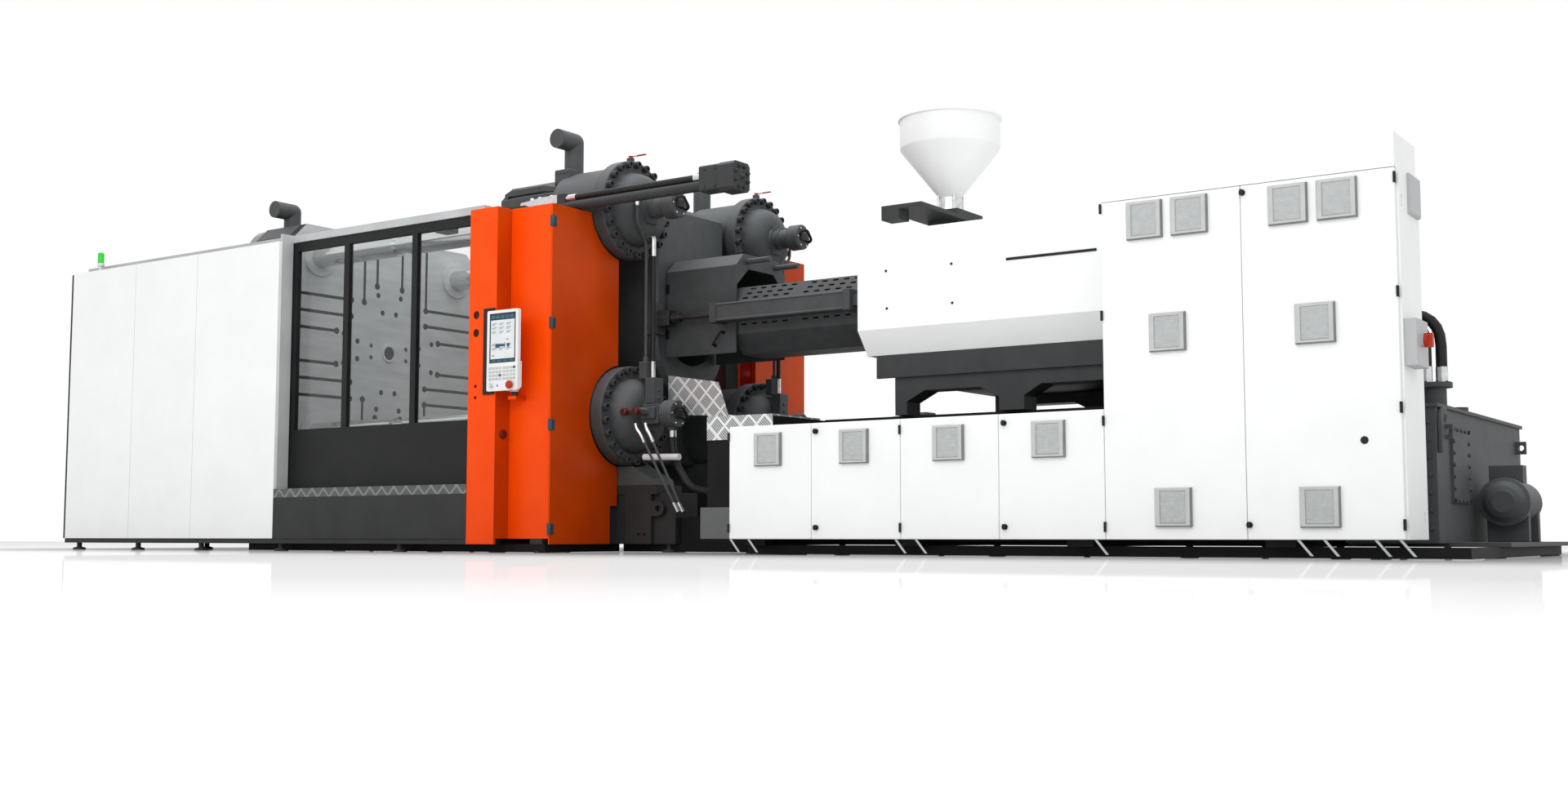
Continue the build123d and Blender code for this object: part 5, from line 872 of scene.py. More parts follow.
# %% Door locks
LOCK_R, WING_HALF_WIDTH, WING_POINTS = 0.017, 0.0085, 20
KNOBS = {
    "cabinet_knob_1_upper": (2.2, 0.772, "knob_1_upper"),
    "cabinet_knob_1_lower": (2.2, 0.172, "knob_1_lower"),
    "cabinet_knob_2_upper": (3.508, 0.772, "knob_2_upper"),
    "cabinet_knob_2_lower": (3.508, 0.172, "knob_2_lower"),
    "electric_knob_upper": (4.94, 1.951, "knob_e_upper"),
    "electric_knob_lower": (4.94, 0.178, "knob_e_lower"),
}
for node, (x, z, body) in KNOBS.items():
    knob = Piece()
    knob.turned("y", (x, FRONT, z), [(-0.0003, LOCK_R - 0.0005), (-0.008, LOCK_R), (-0.012, LOCK_R - 0.002),
                                     (-0.012, 0.0)], 28)
    turns = [2 * math.pi * i / WING_POINTS for i in range(WING_POINTS)]
    wing = [(z + LOCK_R * math.sin(t), x + WING_HALF_WIDTH * math.cos(t)) for t in turns]
    knob.plate("y", wing, FRONT - 0.030, FRONT - 0.010, 0.002)
    knob.turned("y", (x, FRONT, z), [(0.0, 0.008), (0.030, 0.008)], 14)
    knob.box((x - 0.008, FRONT + 0.023, z - 0.03), (x + 0.008, FRONT + 0.030, z + 0.008), 0.001)
    knob.done(node + "_wing", body, [BLACK], (node,))

# %% [markdown]
# ## Hinges
# Small black pin hinges sit on the cabinet seams, and teal ones on the orange column. A hinge has
# a knuckle round its pin and a leaf on each side. On the column one leaf stays with the machine
# and the other rides on the side door, with its two screws.

# %% Hinges
KNUCKLE_R = 0.0076
CABINET_HINGES = [(x, z) for x in (SEAMS[0], SEAMS[2], SEAMS[4]) for z in (0.760, 0.170)]
CABINET_HINGES += [(4.127, z) for z in (1.955, 1.350)] + [(5.727, z) for z in (1.937, 1.352, 0.764, 0.175)]
COLUMN_HINGES = (2.402, 1.656, 0.918, 0.170)
COLUMN_PIN_X, COLUMN_PIN_Y = -0.182, -1.629


def knuckle(piece, x, y, z, half, core, chamfer):
    """The rounded barrel of a hinge."""
    piece.turned("z", (x, y, z), [(-half, 0.0), (-half, core), (chamfer - half, KNUCKLE_R),
                                  (half - chamfer, KNUCKLE_R), (half, core), (half, 0.0)], 20)


hinges = Piece()
for x, z in CABINET_HINGES:
    knuckle(hinges, x, FRONT - 0.008, z, 0.028, 0.0066, 0.001)
    hinges.box((x - 0.0008, FRONT - 0.008, z - 0.028), (x + 0.0008, FRONT + 0.025, z + 0.028))
hinges.slot = 1
for z in COLUMN_HINGES:
    knuckle(hinges, COLUMN_PIN_X, COLUMN_PIN_Y, z, 0.042, 0.0068, 0.002)
    hinges.box((COLUMN_PIN_X - 0.026, COLUMN_PIN_Y - 0.006, z - 0.042),
               (COLUMN_PIN_X, COLUMN_PIN_Y, z + 0.042), 0.001)
hinges.done("hinge_knuckles", "machine", [BLACK, TEAL], ("cabinet_hinges",))
leaves = Piece()
for z in COLUMN_HINGES:
    leaves.box((-0.1907, -1.619, z - 0.038), (-0.1847, -1.586, z + 0.038), 0.001)
    for dz in (-0.022, 0.022):
        leaves.turned("x", (-0.1850, -1.602, z + dz), [(0, 0.006), (0.002, 0.005), (0.002, 0)], 12)
leaves.done("column_hinge_leaves", "side_door", [TEAL])

# %% [markdown]
# ## Column plugs and cover trim
# Black plugs fill four spare holes in the column's front, and a narrow dark strip edges the last
# cover. Both are too thin to matter as solids, so they are made here.

# %% Column plugs and cover trim
COLUMN_X = -0.8
COLUMN_HOLES = ((1.740, 0.029), (1.607, 0.029), (1.213, 0.012), (1.130, 0.012))
trim = Piece()
for z, radius in COLUMN_HOLES:
    trim.turned("y", (COLUMN_X, FRONT, z), [(0.010, 0.0), (0.010, radius), (0.019, radius), (0.019, 0.0)], 24)
trim.box((-6.050, FRONT - 0.0012, 0.100), (-6.026, FRONT - 0.0002, COVER_TOP - 0.010))
trim.done("column_plugs_and_trim", "machine", [BLACK])

# %% [markdown]
# ## Hoses
# Black rubber hoses link the pipes to the cylinders, each with a crimped bright sleeve at its
# ends. Both ends are fixed and nothing between them moves, so a hose is a plain tube along the
# same points as in the CAD source. The sleeves are slightly wider tubes over its ends.

# %% Hoses
TRAVERSE_Y, TRAVERSE_Z = 1.306, 2.574
DROP_X, SUPPLY_X = 0.094, 0.287
RISER_X, RISER_Y, RISER_TOP = 5.660, -0.776, 0.967
SLEEVE, SLEEVE_FIT = 0.09, 1.08


def hose(piece, points, radius, bend):
    """One hose with a crimped bright sleeve at each end."""
    piece.slot = 0
    piece.tube(points, radius, bend, 20)
    piece.slot = 1
    for start, after in ((points[0], points[1]), (points[-1], points[-2])):
        a, b = Vector(start), Vector(after)
        ahead = (b - a).normalized()
        sleeve = min(SLEEVE, (b - a).length * 0.5)
        piece.tube([a + ahead * 0.001, a + ahead * sleeve], radius * SLEEVE_FIT, 0, 20)


def drop_hose(piece, y):
    """Hose beside a clamp cylinder, hanging between a bright elbow and a bright sleeve."""
    piece.slot = 1
    piece.tube([(0.046, y, 2.370), (DROP_X, y, 2.370), (DROP_X, y, 2.225)], 0.019, 0.036, 20)
    piece.tube([(DROP_X, y, 1.425), (DROP_X, y, 1.305)], 0.019, 0, 20)
    piece.slot = 0
    piece.tube([(DROP_X, y, 2.226), (DROP_X, y, 1.424)], 0.018, 0, 20)


def supply_hose(piece, y):
    """Hose that runs down from a lower cylinder and away below the treads."""
    hose(piece, [(SUPPLY_X, y, 0.900), (SUPPLY_X, y, 0.800), (0.315, y, 0.665), (0.447, y, 0.476),
                 (0.600, y, 0.443), (0.960, y, 0.443)], 0.028, 0.07)


hoses = Piece()
for side in (-1, 1):
    drop_hose(hoses, side * TIE_Y)
    supply_hose(hoses, side * TIE_Y)
    level = AXIS_Z - side * (TRAVERSE_Z + 0.0623 - AXIS_Z)
    hose(hoses, [(-0.342, side * TRAVERSE_Y, level), (0.951, side * TRAVERSE_Y, level)], 0.024, 0)
for dx, dy in ((-0.034, -0.030), (0.034, 0.030)):
    x, y = RISER_X + dx, RISER_Y + dy
    hose(hoses, [(x, y, RISER_TOP), (x, y, 1.367), (x - 0.42, y, 1.367), (x - 0.42, y, 0.829)], 0.030, 0.30)
hoses.done("rubber_hoses", "machine", [RUBBER, BRIGHT], ("hydraulic_hoses",))

# %% [markdown]
# ## Steel pipes
# A thin bent pipe leads oil from each upper cylinder down to a pair of valve blocks on the lower
# one. The pipe, its nuts and the blocks never part, so they are one piece in two materials.

# %% Steel pipes
def pipe_run(piece, y, side):
    """One bent pipe with its nuts, and the two valve blocks below it."""
    out, near = y + side * 0.182, y + side * 0.017
    piece.slot = 0
    piece.tube([(0.082, out, 2.655), (0.082, out, 2.455), (0.038, near, 2.324), (0.038, near, 1.425)],
               0.012, 0.05, 16)
    piece.turned("z", (0.038, near, 0), [(1.425, 0.0), (1.425, 0.022), (1.459, 0.022), (1.462, 0.013)], 20)
    piece.box((0.0, y - 0.055, 1.295), (0.066, y + 0.055, 1.425), 0.004)
    piece.box((0.066, y - 0.060, 1.103), (0.150, y + 0.060, 1.300), 0.004)
    for dz in (0.03, 0.09):
        piece.turned("x", (0.150, y, 1.12 + dz), [(0, 0.014), (0.008, 0.012), (0.008, 0.0)], 14)
    piece.box((-0.164, y - 0.020, 2.974), (-0.116, y + 0.020, 3.009), 0.003)
    piece.slot = 1
    piece.turned("z", (0.082, out, 0), [(2.580, 0.013), (2.584, 0.020), (2.640, 0.020), (2.655, 0.017),
                                        (2.676, 0.017), (2.684, 0.0)], 20)
    piece.turned("x", (0, out, 2.664), [(0.062, 0.0), (0.062, 0.019), (0.080, 0.019), (0.090, 0.0)], 20)


pipes = Piece()
for side in (-1, 1):
    pipe_run(pipes, side * TIE_Y, side)
pipes.done("steel_pipes", "machine", [IRON, BRIGHT], ("hydraulic_pipes",))

# %% [markdown]
# ## Fittings on the fixed platen
# A junction block on two stems, a bent bracket that carries the pipework, and a bright bracket
# with three studs stand on top of the fixed platen. The brackets are cut from plate, so each one
# is an outline with a thickness.

# %% Fittings on the fixed platen
BLOCK_X0, BLOCK_X1, BLOCK_Z0, BLOCK_Z1 = -0.745, -0.590, 2.832, 2.955
PIPE_BRACKET = [(2.700, -1.225), (2.812, -1.225), (2.838, -1.160), (2.838, -0.800), (2.812, -0.690),
                (2.770, -0.690), (2.790, -0.800), (2.790, -1.185), (2.700, -1.195)]
STUD_BRACKET = [(2.612, -0.810), (2.650, -0.800), (2.668, -0.600), (2.672, -0.344), (2.606, -0.344),
                (2.604, -0.560)]
STEM = [(2.700, 0.022), (2.790, 0.022), (2.792, 0.032), (2.812, 0.032), (2.814, 0.026), (2.834, 0.026)]


def junction_block(piece, side):
    """Block on two stems, with eight small plugs on its outer side."""
    y0, y1 = sorted((side * 1.020, side * 0.925))
    piece.box((BLOCK_X0, y0, BLOCK_Z0), (BLOCK_X1, y1, BLOCK_Z1), 0.006)
    for x in (-0.705, -0.630):
        piece.turned("z", (x, side * 0.972, 0), STEM, 20)
    for dx in (0.02, 0.06, 0.10, 0.135):
        for dz in (0.025, 0.095):
            piece.turned("y", (BLOCK_X0 + dx, side * 1.020, BLOCK_Z0 + dz),
                         [(0, 0.009), (side * 0.006, 0.008), (side * 0.006, 0.0)], 12)


fittings = Piece()
for side in (-1, 1):
    junction_block(fittings, side)
    y0, y1 = sorted((side * 1.075, side * 0.960))
    fittings.plate("y", PIPE_BRACKET, y0, y1, 0.004)
fittings.slot = 1
fittings.plate("y", STUD_BRACKET, -1.332, -1.280, 0.003)
for x in (-0.70, -0.62, -0.50):
    fittings.turned("z", (x, -1.306, 0), [(2.655, 0.018), (2.678, 0.018), (2.682, 0.0)], 16)
fittings.done("platen_fittings", "machine", [IRON, BRIGHT])

# %% [markdown]
# ## Handle of the purge guard
# The guard slides aside when the nozzle is cleaned, by a slanted bow handle. The handle rides on
# the guard's body, together with two small hinge pads.

# %% Handle of the purge guard
GRIP_ENDS = ((0.385, 1.678), (0.307, 1.582))
GUARD_SIDE, GRIP_OUT = -0.327, -0.368
handle = Piece()
(x0, z0), (x1, z1) = GRIP_ENDS
handle.tube([(x0, GUARD_SIDE, z0), (x0, GRIP_OUT, z0), (x1, GRIP_OUT, z1), (x1, GUARD_SIDE, z1)],
            0.008, 0.012, 12)
for x, z in GRIP_ENDS:
    handle.turned("y", (x, GUARD_SIDE - 0.001, z), [(0, 0.016), (-0.005, 0.015), (-0.005, 0.0)], 16)
for z in (2.02, 1.66):
    handle.box((-0.176, -0.338, z), (-0.146, -0.3275, z + 0.075), 0.002)
handle.done("guard_handle", "guard", [BLACK])

# %% [markdown]
# ## Sensor block and drains
# Round the lower clamp cylinder there are a sensor block with two dark red caps, two thin drain
# pipes that slant down to the bed, and a pale rod. The pipes have bright ends.

# %% Sensor block and drains
CAP_XS, CAP_Z = (0.030, 0.140), 1.035
DRAINS = ((0.160, 0.216, 0.450), (0.253, 0.300, 0.495))
drains = Piece()
drains.box((0.068, -0.918, 0.950), (0.226, -0.902, 1.098), 0.004)
drains.box((0.086, -0.950, 0.985), (0.208, -0.915, 1.075), 0.006)
for x in CAP_XS:
    drains.turned("y", (x, 0, CAP_Z), [(-0.905, 0.030), (-1.040, 0.030), (-1.044, 0.024), (-1.044, 0.0)], 6)
for top, knee, end in DRAINS:
    drains.slot = 0
    drains.tube([(knee, -1.098, 0.846), (end, -0.960, 0.295)], 0.010, 0, 12)
    drains.slot = 1
    drains.tube([(top, -1.100, 0.940), (top + 0.012, -1.100, 0.900), (knee, -1.099, 0.850),
                 (knee + 0.018, -1.088, 0.800)], 0.013, 0.03, 12)
    drains.tube([(end - 0.028, -0.977, 0.362), (end, -0.960, 0.295)], 0.013, 0, 12)
drains.slot = 3
drains.tube([(0.080, -0.900, 0.705), (0.415, -0.900, 0.697)], 0.024, 0, 20)
drains.slot = 2
for x in CAP_XS:
    drains.turned("y", (x, 0, CAP_Z), [(-1.0445, 0.026), (-1.090, 0.026), (-1.096, 0.020), (-1.096, 0.0)], 20)
drains.done("drain_pipes_and_caps", "machine", [IRON, BRIGHT, SENSOR_RED, PANEL_WHITE])

# %% [markdown]
# ## Under the machine
# A black sheet of painted shade, set back from the front, closes the height of the levelling feet,
# and short pale struts lean against it. Without it the white floor would shine through below the beds.

# %% Under the machine
SHADE_SHEET_TOP, SHADE_SHEET_FOOT, SHADE_SHEET_THICKNESS = 0.062, 0.004, 0.004
STRUT_XS = (1.525, 1.668, 2.764, 2.905, 4.059, 5.185, 5.319, 5.575, 5.695)
shade_sheet = Piece()
# Black sheets of painted shade, standing for the shade under the beds.
for x0, x1, y in ((-3.58, -0.24, -1.62), (-0.20, 1.47, -0.80), (1.56, 6.0, -1.62)):
    shade_sheet.box((x0, y, SHADE_SHEET_FOOT), (x1, y + SHADE_SHEET_THICKNESS, SHADE_SHEET_TOP))
    shade_sheet.box((x0, y + SHADE_SHEET_THICKNESS, 0.058), (x1, y + 0.060, SHADE_SHEET_TOP))
shade_sheet.box((-0.244, -1.616, SHADE_SHEET_FOOT), (-0.240, -0.80, SHADE_SHEET_TOP))
shade_sheet.box((5.996, -1.616, SHADE_SHEET_FOOT), (6.0, 0.9, SHADE_SHEET_TOP))
shade_sheet.done("under_machine_shade_sheets", "machine", [PLINTH_BLACK_AND_SHADE])
struts = Piece()
for x in STRUT_XS:
    outline = [(0.098, x), (0.098, x + 0.016), (0.016, x + 0.084), (0.016, x + 0.068)]
    struts.plate("y", outline, FRONT + 0.001, FRONT + 0.006)
struts.done("pale_struts", "machine", [POST_SILVER])

# %% [markdown]
# ## Bolts on the power unit
# The oil tank has a bolted cover plate, a row of bolts down its corner, a bolted flange under the
# hoses, and a lifting lug. The bolt heads are six-sided, as a turned shape with six steps gives.

# %% Bolts on the power unit
TANK_FACE, TANK_FRONT = 5.740, -1.130
COVER_FACE = TANK_FACE + 0.016
COVER_Y0, COVER_Y1, COVER_Z0, COVER_Z1 = -0.805, -0.435, 0.315, 0.705
BOLT_HEAD = [(0, 0.012), (0.009, 0.012), (0.010, 0)]
CORNER_BOLT = [(0.0, 0.013), (-0.009, 0.013), (-0.010, 0)]
FLANGE_BOLT = [(0, 0.008), (0.007, 0.008), (0.008, 0)]
LUG = [(-1.100, 0.560), (-1.100, 0.760), (-1.060, 0.815), (-0.980, 0.815), (-0.930, 0.760), (-0.930, 0.700)]
power = Piece()
for i in range(7):
    for y in (COVER_Y0, COVER_Y1):
        power.turned("x", (COVER_FACE, y, COVER_Z0 + i * 0.065), BOLT_HEAD, 6)
for i in range(5):
    for z in (COVER_Z0, COVER_Z1):
        power.turned("x", (COVER_FACE, COVER_Y0 + i * 0.0925, z), BOLT_HEAD, 6)
for i in range(7):
    for x in (5.640, 5.705):
        power.turned("y", (x, TANK_FRONT, 0.160 + i * 0.095), CORNER_BOLT, 6)
for i in range(8):
    angle = 2 * math.pi * (i + 0.5) / 8
    centre = (RISER_X + 0.078 * math.cos(angle), RISER_Y + 0.078 * math.sin(angle), RISER_TOP)
    power.turned("z", centre, FLANGE_BOLT, 6)
power.plate("x", LUG, TANK_FACE, TANK_FACE + 0.024, 0.004)
power.turned("x", (TANK_FACE + 0.024, -1.020, 0.755), [(0, 0.026), (0.004, 0.026), (0.004, 0.018),
                                                       (0.0, 0.018)], 24, True)
power.done("power_unit_bolts", "machine", [IRON])

# %% [markdown]
# ## Studs on the traverse cylinder heads
# The long traverse cylinders move the platen fast before the clamp cylinders take over. Each ends
# in a square head with a ring of studs and nuts, and four plugs on its side.

# %% Studs on the traverse cylinder heads
TRAVERSE_HEADS = ((-1.306, 2.574, 1), (1.306, 1.046, -1))
HEAD_END, HEAD_STUDS = 1.272, 8
STUD_AND_NUT = [(-0.002, 0.015), (0.010, 0.015), (0.010, 0.009), (0.018, 0.009), (0.018, 0.0)]
SIDE_PLUG = [(0.002, 0.010), (-0.005, 0.010), (-0.006, 0.0)]
studs = Piece()
for y, z, up in TRAVERSE_HEADS:
    centre = z + up * 0.023
    for i in range(HEAD_STUDS):
        angle = 2 * math.pi * (i + 0.5) / HEAD_STUDS
        place = (HEAD_END, y + 0.075 * math.cos(angle), centre + 0.078 * math.sin(angle))
        studs.turned("x", place, STUD_AND_NUT, 12)
    for x in (1.000, 1.090):
        for dz in (-0.030, 0.095):
            studs.turned("y", (x, y - 0.070, z + up * dz), SIDE_PLUG, 12)
studs.done("traverse_head_studs", "machine", [FRAME_GREY])

# %% [markdown]
# ## Cover screws, plugs and slots
# The injection cover has four screws and a plain black rail, the right-hand electric door has a
# round plug, and a black sheet stands for the painted shade in the slit beside the control panel.
# Each one rides on the body that carries it, so the screws go along when the injection unit moves.

# %% Cover screws, plugs and slots
COVER_SIDE = -0.976
COVER_SCREWS = ((2.232, 1.891), (2.730, 1.892), (2.237, 1.637), (2.734, 1.634))
cover_screws = Piece()
for x, z in COVER_SCREWS:
    cover_screws.turned("y", (x, COVER_SIDE, z), [(0.004, 0.009), (-0.003, 0.009), (-0.005, 0.006),
                                                  (-0.005, 0.0)], 14)
cover_screws.box((3.127, -0.982, 1.874), (3.749, -0.9755, 1.892), 0.003)
cover_screws.done("cover_screws_and_rail", "carriage", [BLACK])
door_plug = Piece()
door_plug.turned("y", (5.541, FRONT, 0.605), [(0.004, 0.0), (0.004, 0.020), (-0.003, 0.020),
                                              (-0.004, 0.016), (-0.004, 0.0)], 24)
door_plug.done("electric_door_plug", "door_right", [BLACK])
# A black sheet of painted shade stands for the shade in the slit beside the panel.
slit = Piece()
slit.box((-0.716, FRONT - 0.012, 1.146), (-0.606, FRONT - 0.0005, 1.778), 0.002)
slit.done("panel_slit_shade", "machine", [BLACK])
button = Piece()
button.turned("x", (-0.595, -1.695, 0.858), [(0.0005, 0.034), (0.010, 0.034), (0.014, 0.026),
                                             (0.014, 0.0)], 28)
button.done("column_button", "machine", [SENSOR_RED])

# %% [markdown]
# ## Screen of the control panel
# The operator's panel has a portrait screen. A picture of a real page would carry words, so thin
# raised fields stand for the page: a bar of buttons, rows of values and a small drawing. They
# carry no words. Each layer lies a fraction of a millimetre above the last.

# %% Screen of the control panel
PANEL_Y = -1.806
SCREEN_FACE = PANEL_Y + 0.0025
SCREEN_X0, SCREEN_X1, SCREEN_Z0, SCREEN_Z1 = -0.633, -0.372, 1.368, 1.731
LAYER = 0.0006
DRAWN_MACHINE = ((0.02, 0.22, 0.125, 0.128), (0.06, 0.10, 0.110, 0.140), (0.10, 0.15, 0.118, 0.134),
                 (0.15, 0.156, 0.105, 0.147), (0.176, 0.20, 0.112, 0.138))
SCREEN_DARK = paint("screen border", "#10222b", "#16303b", 0.25, 10, 0.001)
SCREEN_PAGE = paint("screen page", "#d9dddf", "#e4e7e8", 0.3, 10, 0.001)
SCREEN_BLUE = paint("screen bar", "#2b5566", "#33647a", 0.3, 10, 0.001)
SCREEN_ORANGE = paint("screen mark", "#e0662a", "#ea7136", 0.3, 10, 0.001)


def flat(piece, x0, x1, z0, z1, layers):
    """A thin raised field, some layers above the screen's face."""
    y = SCREEN_FACE - layers * LAYER
    piece.box((x0, y - LAYER, z0), (x1, y, z1))


def screen_fields(piece):
    """Bars of buttons, rows of values and the small drawing."""
    x0, z0, z1 = SCREEN_X0, SCREEN_Z0, SCREEN_Z1
    for i in range(5):
        flat(piece, x0 + 0.016 + i * 0.046, x0 + 0.054 + i * 0.046, z1 - 0.040, z1 - 0.016, 1)
    for i in range(4):
        flat(piece, x0 + 0.016 + i * 0.060, x0 + 0.062 + i * 0.060, z0 + 0.008, z0 + 0.022, 1)
    for row in (0, 1, 2, 5, 6):
        for column in range(3):
            x, z = x0 + 0.024 + column * 0.072, z1 - 0.078 - row * 0.030
            flat(piece, x, x + 0.045, z, z + 0.004, 2)
            flat(piece, x, x + 0.030, z - 0.010, z - 0.007, 2)
    for left, right, low, high in DRAWN_MACHINE:
        flat(piece, x0 + left, x0 + right, z0 + low, z0 + high, 2)


screen = Piece()
flat(screen, SCREEN_X0, SCREEN_X1, SCREEN_Z0, SCREEN_Z1, 0)
screen.slot = 1
flat(screen, SCREEN_X0 + 0.012, SCREEN_X1 - 0.012, SCREEN_Z0 + 0.030, SCREEN_Z1 - 0.050, 1)
screen.slot = 2
screen_fields(screen)
screen.slot = 3
flat(screen, SCREEN_X0 + 0.165, SCREEN_X0 + 0.190, SCREEN_Z0 + 0.165, SCREEN_Z0 + 0.173, 2)
flat(screen, SCREEN_X0 + 0.022, SCREEN_X0 + 0.050, SCREEN_Z0 + 0.050, SCREEN_Z0 + 0.058, 2)
screen.done("panel_screen", "panel", [SCREEN_DARK, SCREEN_PAGE, SCREEN_BLUE, SCREEN_ORANGE])

# %% [markdown]
# ## Keypad
# Four rows of eight plain keys sit below the screen, with a wider gap after the fourth. Two keys
# are blue. The emergency stop and the selector beside them are CAD pieces with joints.

# %% Keypad
KEY_ROWS, KEY_COLUMNS, KEY_PITCH, ROW_PITCH = 4, 8, 0.0335, 0.026
BLUE_KEYS = ((0, 7), (2, 3))
KEY_GREY = paint("keypad key", "#b9bcbd", "#c6c8c9", 0.5, 20, 0.001)
keys = Piece()
for row in range(KEY_ROWS):
    for column in range(KEY_COLUMNS):
        x = -0.636 + column * KEY_PITCH + (0.006 if column > 3 else 0)
        z = 1.330 - row * ROW_PITCH
        keys.slot = 1 if (row, column) in BLUE_KEYS else 0
        keys.box((x, PANEL_Y - 0.0025, z - 0.009), (x + 0.027, PANEL_Y, z + 0.009), 0.002)
keys.done("panel_keys", "panel", [KEY_GREY, SCREEN_BLUE])

# %% [markdown]
# ## Signal lamp
# A green lens on a white stem tells from afar that the machine runs. It could glow, but the real
# one is lit by day and only looks green, so bright green plastic is enough.

# %% Signal lamp
LAMP = (-5.7, -1.716, 0)
LAMP_STEM = [(2.47, 0.0), (2.47, 0.014), (2.58, 0.014), (2.58, 0.031), (2.582, 0.032), (2.606, 0.032),
             (2.608, 0.028), (2.612, 0.0)]
LAMP_LENS = [(2.610, 0.0), (2.610, 0.028), (2.690, 0.028), (2.698, 0.026), (2.704, 0.020), (2.706, 0.0)]
GREEN = paint("green lens", "#12c92a", "#1fdd38", 0.25, 20, 0.001)
lamp = Piece()
lamp.turned("z", LAMP, LAMP_STEM, 32)
lamp.box((-5.714, -1.746, 2.466), (-5.686, -1.702, 2.474), 0.001)
lamp.slot = 1
lamp.turned("z", LAMP, LAMP_LENS, 32)
lamp.done("signal_lamp_lens", "machine", [PANEL_WHITE, GREEN], ("signal_lamp",))

# %% [markdown]
# ## Floor
# The machine stands on a white studio floor that mirrors it faintly. A mirror of one strength
# looked wrong: near the camera the floor is dull, and further off it shines. So the gloss grows
# with the distance from the camera's foot. Round the machine a painted shadow greys the floor,
# which joins the dark foot to the white ground.

# %% Floor
FOOTPRINT = ((-5.9, FRONT, 0.0), (5.9, -FRONT, 0.0))
SHADOW_FROM, SHADOW_TO, SHADOW_TONE = -0.6, 2.1, 0.30
DULL_SPOT = (7.8, -10.2, 0.0)
GLOSS_FROM, GLOSS_TO, GLOSS_LOW, GLOSS_HIGH = 0.9, 5.0, 0.03, 0.33


def between_points(finish, operation, one, two):
    """A vector step between two points."""
    return finish.node("ShaderNodeVectorMath", {0: one, 1: two}, operation=operation)


def floor_finish():
    """White floor with a painted shadow round the machine's foot, whose reflection fades towards the front.
    """
    finish = Finish("studio floor", 0.9)
    point = where(finish)
    inside = between_points(finish, "MAXIMUM", point, FOOTPRINT[0]).outputs[0]
    nearest = between_points(finish, "MINIMUM", inside, FOOTPRINT[1]).outputs[0]
    gap = between_points(finish, "DISTANCE", point, nearest).outputs["Value"]
    away = between_points(finish, "DISTANCE", point, DULL_SPOT).outputs["Value"]
    white, _ = mottled(finish, 0.3, (0.955, 0.955, 0.955, 1), (0.97, 0.97, 0.97, 1))
    # A painted shadow greys the floor round the footprint and fades out about two metres away.
    painted_shadow = finish.remap(gap, SHADOW_FROM, SHADOW_TO, SHADOW_TONE, 1.0, "SMOOTHSTEP")
    color = finish.mixed(1.0, white, painted_shadow, "MULTIPLY")
    polish = finish.remap(away, GLOSS_FROM, GLOSS_TO, GLOSS_LOW, GLOSS_HIGH)
    matt = finish.node("ShaderNodeBsdfDiffuse", {"Color": color})
    gloss = finish.node("ShaderNodeBsdfGlossy", {"Roughness": 0.03})
    mix = finish.node("ShaderNodeMixShader", {0: polish, 1: matt.outputs[0], 2: gloss.outputs[0]})
    finish.links.new(mix.outputs[0], finish.nodes["Material Output"].inputs["Surface"])
    return finish.material


floor = Piece()
floor.faces_of([(-30, -30, 0), (30, -30, 0), (30, 10, 0), (-30, 10, 0)], [(0, 1, 2, 3)])
data = bpy.data.meshes.new("floor")
floor.mesh.to_mesh(data)
floor.mesh.free()
data.materials.append(floor_finish())
ground = bpy.data.objects.new("floor", data)
bpy.context.scene.collection.objects.link(ground)
print("floor", ground.dimensions[:2])

# %% [markdown]
# ## Lights
# Two wide soft lamps stand in for the studio's lamp banks, one from above and one from the front.
# They are weak, so that the white covers keep their shading and don't burn out.

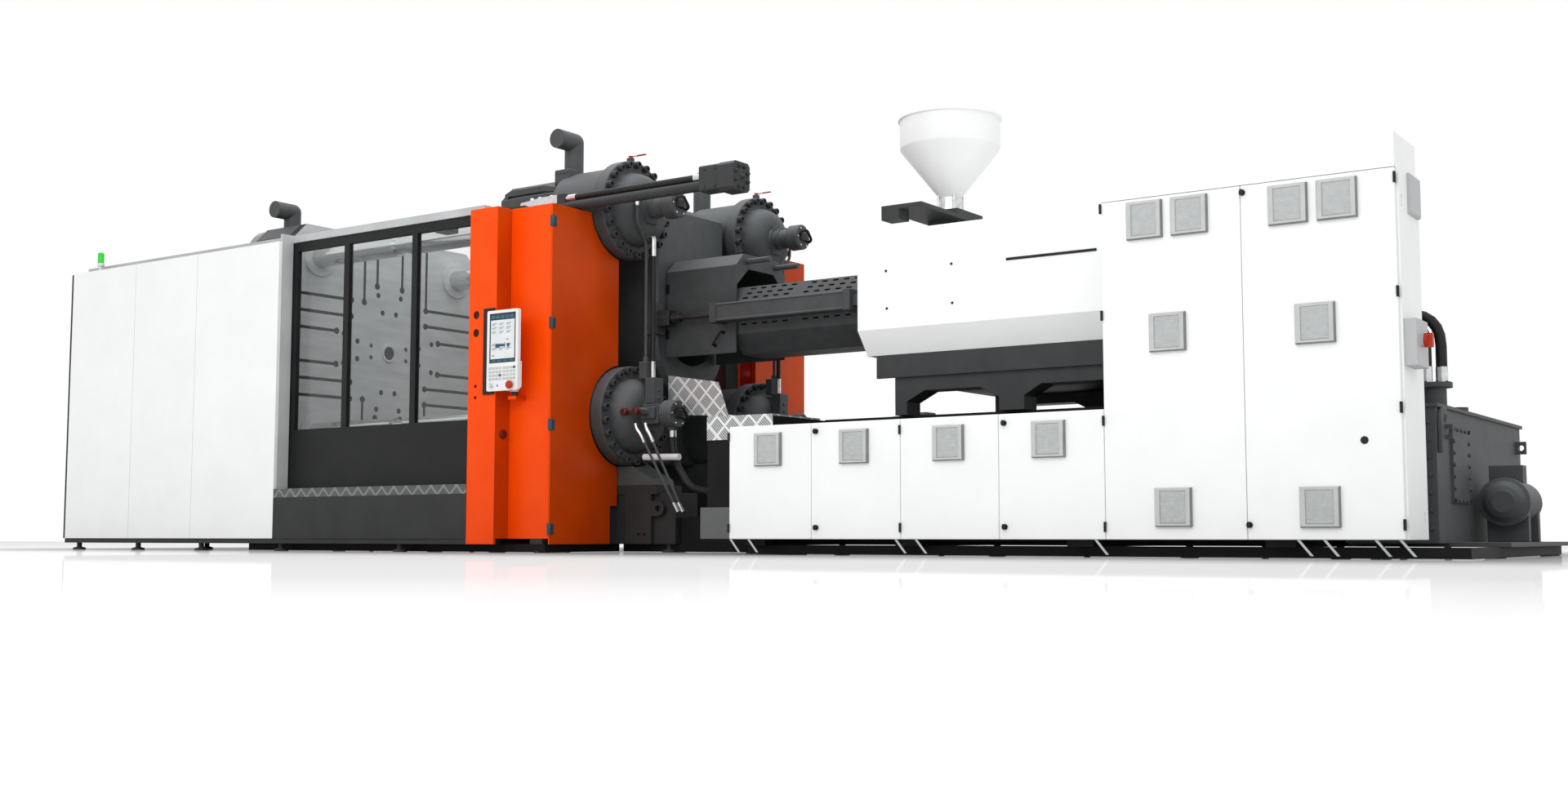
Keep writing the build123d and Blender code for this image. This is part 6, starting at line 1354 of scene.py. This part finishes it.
# %% Lights
def area_light(name, place_at, look_at, size, power):
    """A soft rectangular light that points at a place."""
    light = bpy.data.lights.new(name, "AREA")
    light.shape = "RECTANGLE"
    light.size, light.size_y = size
    light.energy = power
    obj = bpy.data.objects.new(name, light)
    obj.location = place_at
    obj.rotation_euler = (Vector(look_at) - Vector(place_at)).to_track_quat("-Z", "Y").to_euler()
    bpy.context.scene.collection.objects.link(obj)
    print(name, power, "W")


area_light("front light", (3.0, -10.0, 6.5), (1, -3, 0), (14, 6), 350)
area_light("top light", (0.0, 0.0, 8.0), (0, 0, 0), (14, 4), 240)

# %% [markdown]
# ## White surroundings
# The studio round the machine is white. To the camera and in reflections the world has strength
# one, which is white in the picture. It lights the machine a little less than that.

# %% White surroundings
LIT_BY_WORLD, SEEN_WORLD = 0.85, 1.0
world = bpy.data.worlds.new("studio")
bpy.context.scene.world = world
world.use_nodes = True
nodes, links = world.node_tree.nodes, world.node_tree.links
background = nodes["Background"]
background.inputs["Color"].default_value = (1, 1, 1, 1)
ray = nodes.new("ShaderNodeLightPath")
seen = nodes.new("ShaderNodeMath")
seen.operation = "MAXIMUM"
links.new(ray.outputs["Is Camera Ray"], seen.inputs[0])
links.new(ray.outputs["Is Glossy Ray"], seen.inputs[1])
level = nodes.new("ShaderNodeMapRange")
level.inputs["To Min"].default_value = LIT_BY_WORLD
level.inputs["To Max"].default_value = SEEN_WORLD
links.new(seen.outputs[0], level.inputs["Value"])
links.new(level.outputs[0], background.inputs["Strength"])
print("world", LIT_BY_WORLD, "as light,", SEEN_WORLD, "as background")

# %% [markdown]
# ## Camera
# The photographer stood near the injection end with the camera almost on the floor, which makes
# the machine tower over the viewer. The place, the direction and the lens were worked out from
# the machine's straight edges in the photograph.

# %% Camera
AZIMUTH, PITCH = math.radians(34.7925), math.radians(4.6469)
camera = bpy.data.objects.new("camera", bpy.data.cameras.new("camera"))
camera.data.lens = 37.16
camera.data.sensor_width = 36
camera.location = (7.8, -10.188, 0.1197)
aim = Vector((-math.sin(AZIMUTH) * math.cos(PITCH), math.cos(AZIMUTH) * math.cos(PITCH), math.sin(PITCH)))
camera.rotation_euler = aim.to_track_quat("-Z", "Y").to_euler()
bpy.context.scene.collection.objects.link(camera)
bpy.context.scene.camera = camera
bpy.context.scene.view_settings.view_transform = "Standard"
print("camera", tuple(round(c, 3) for c in camera.location), "lens", camera.data.lens)
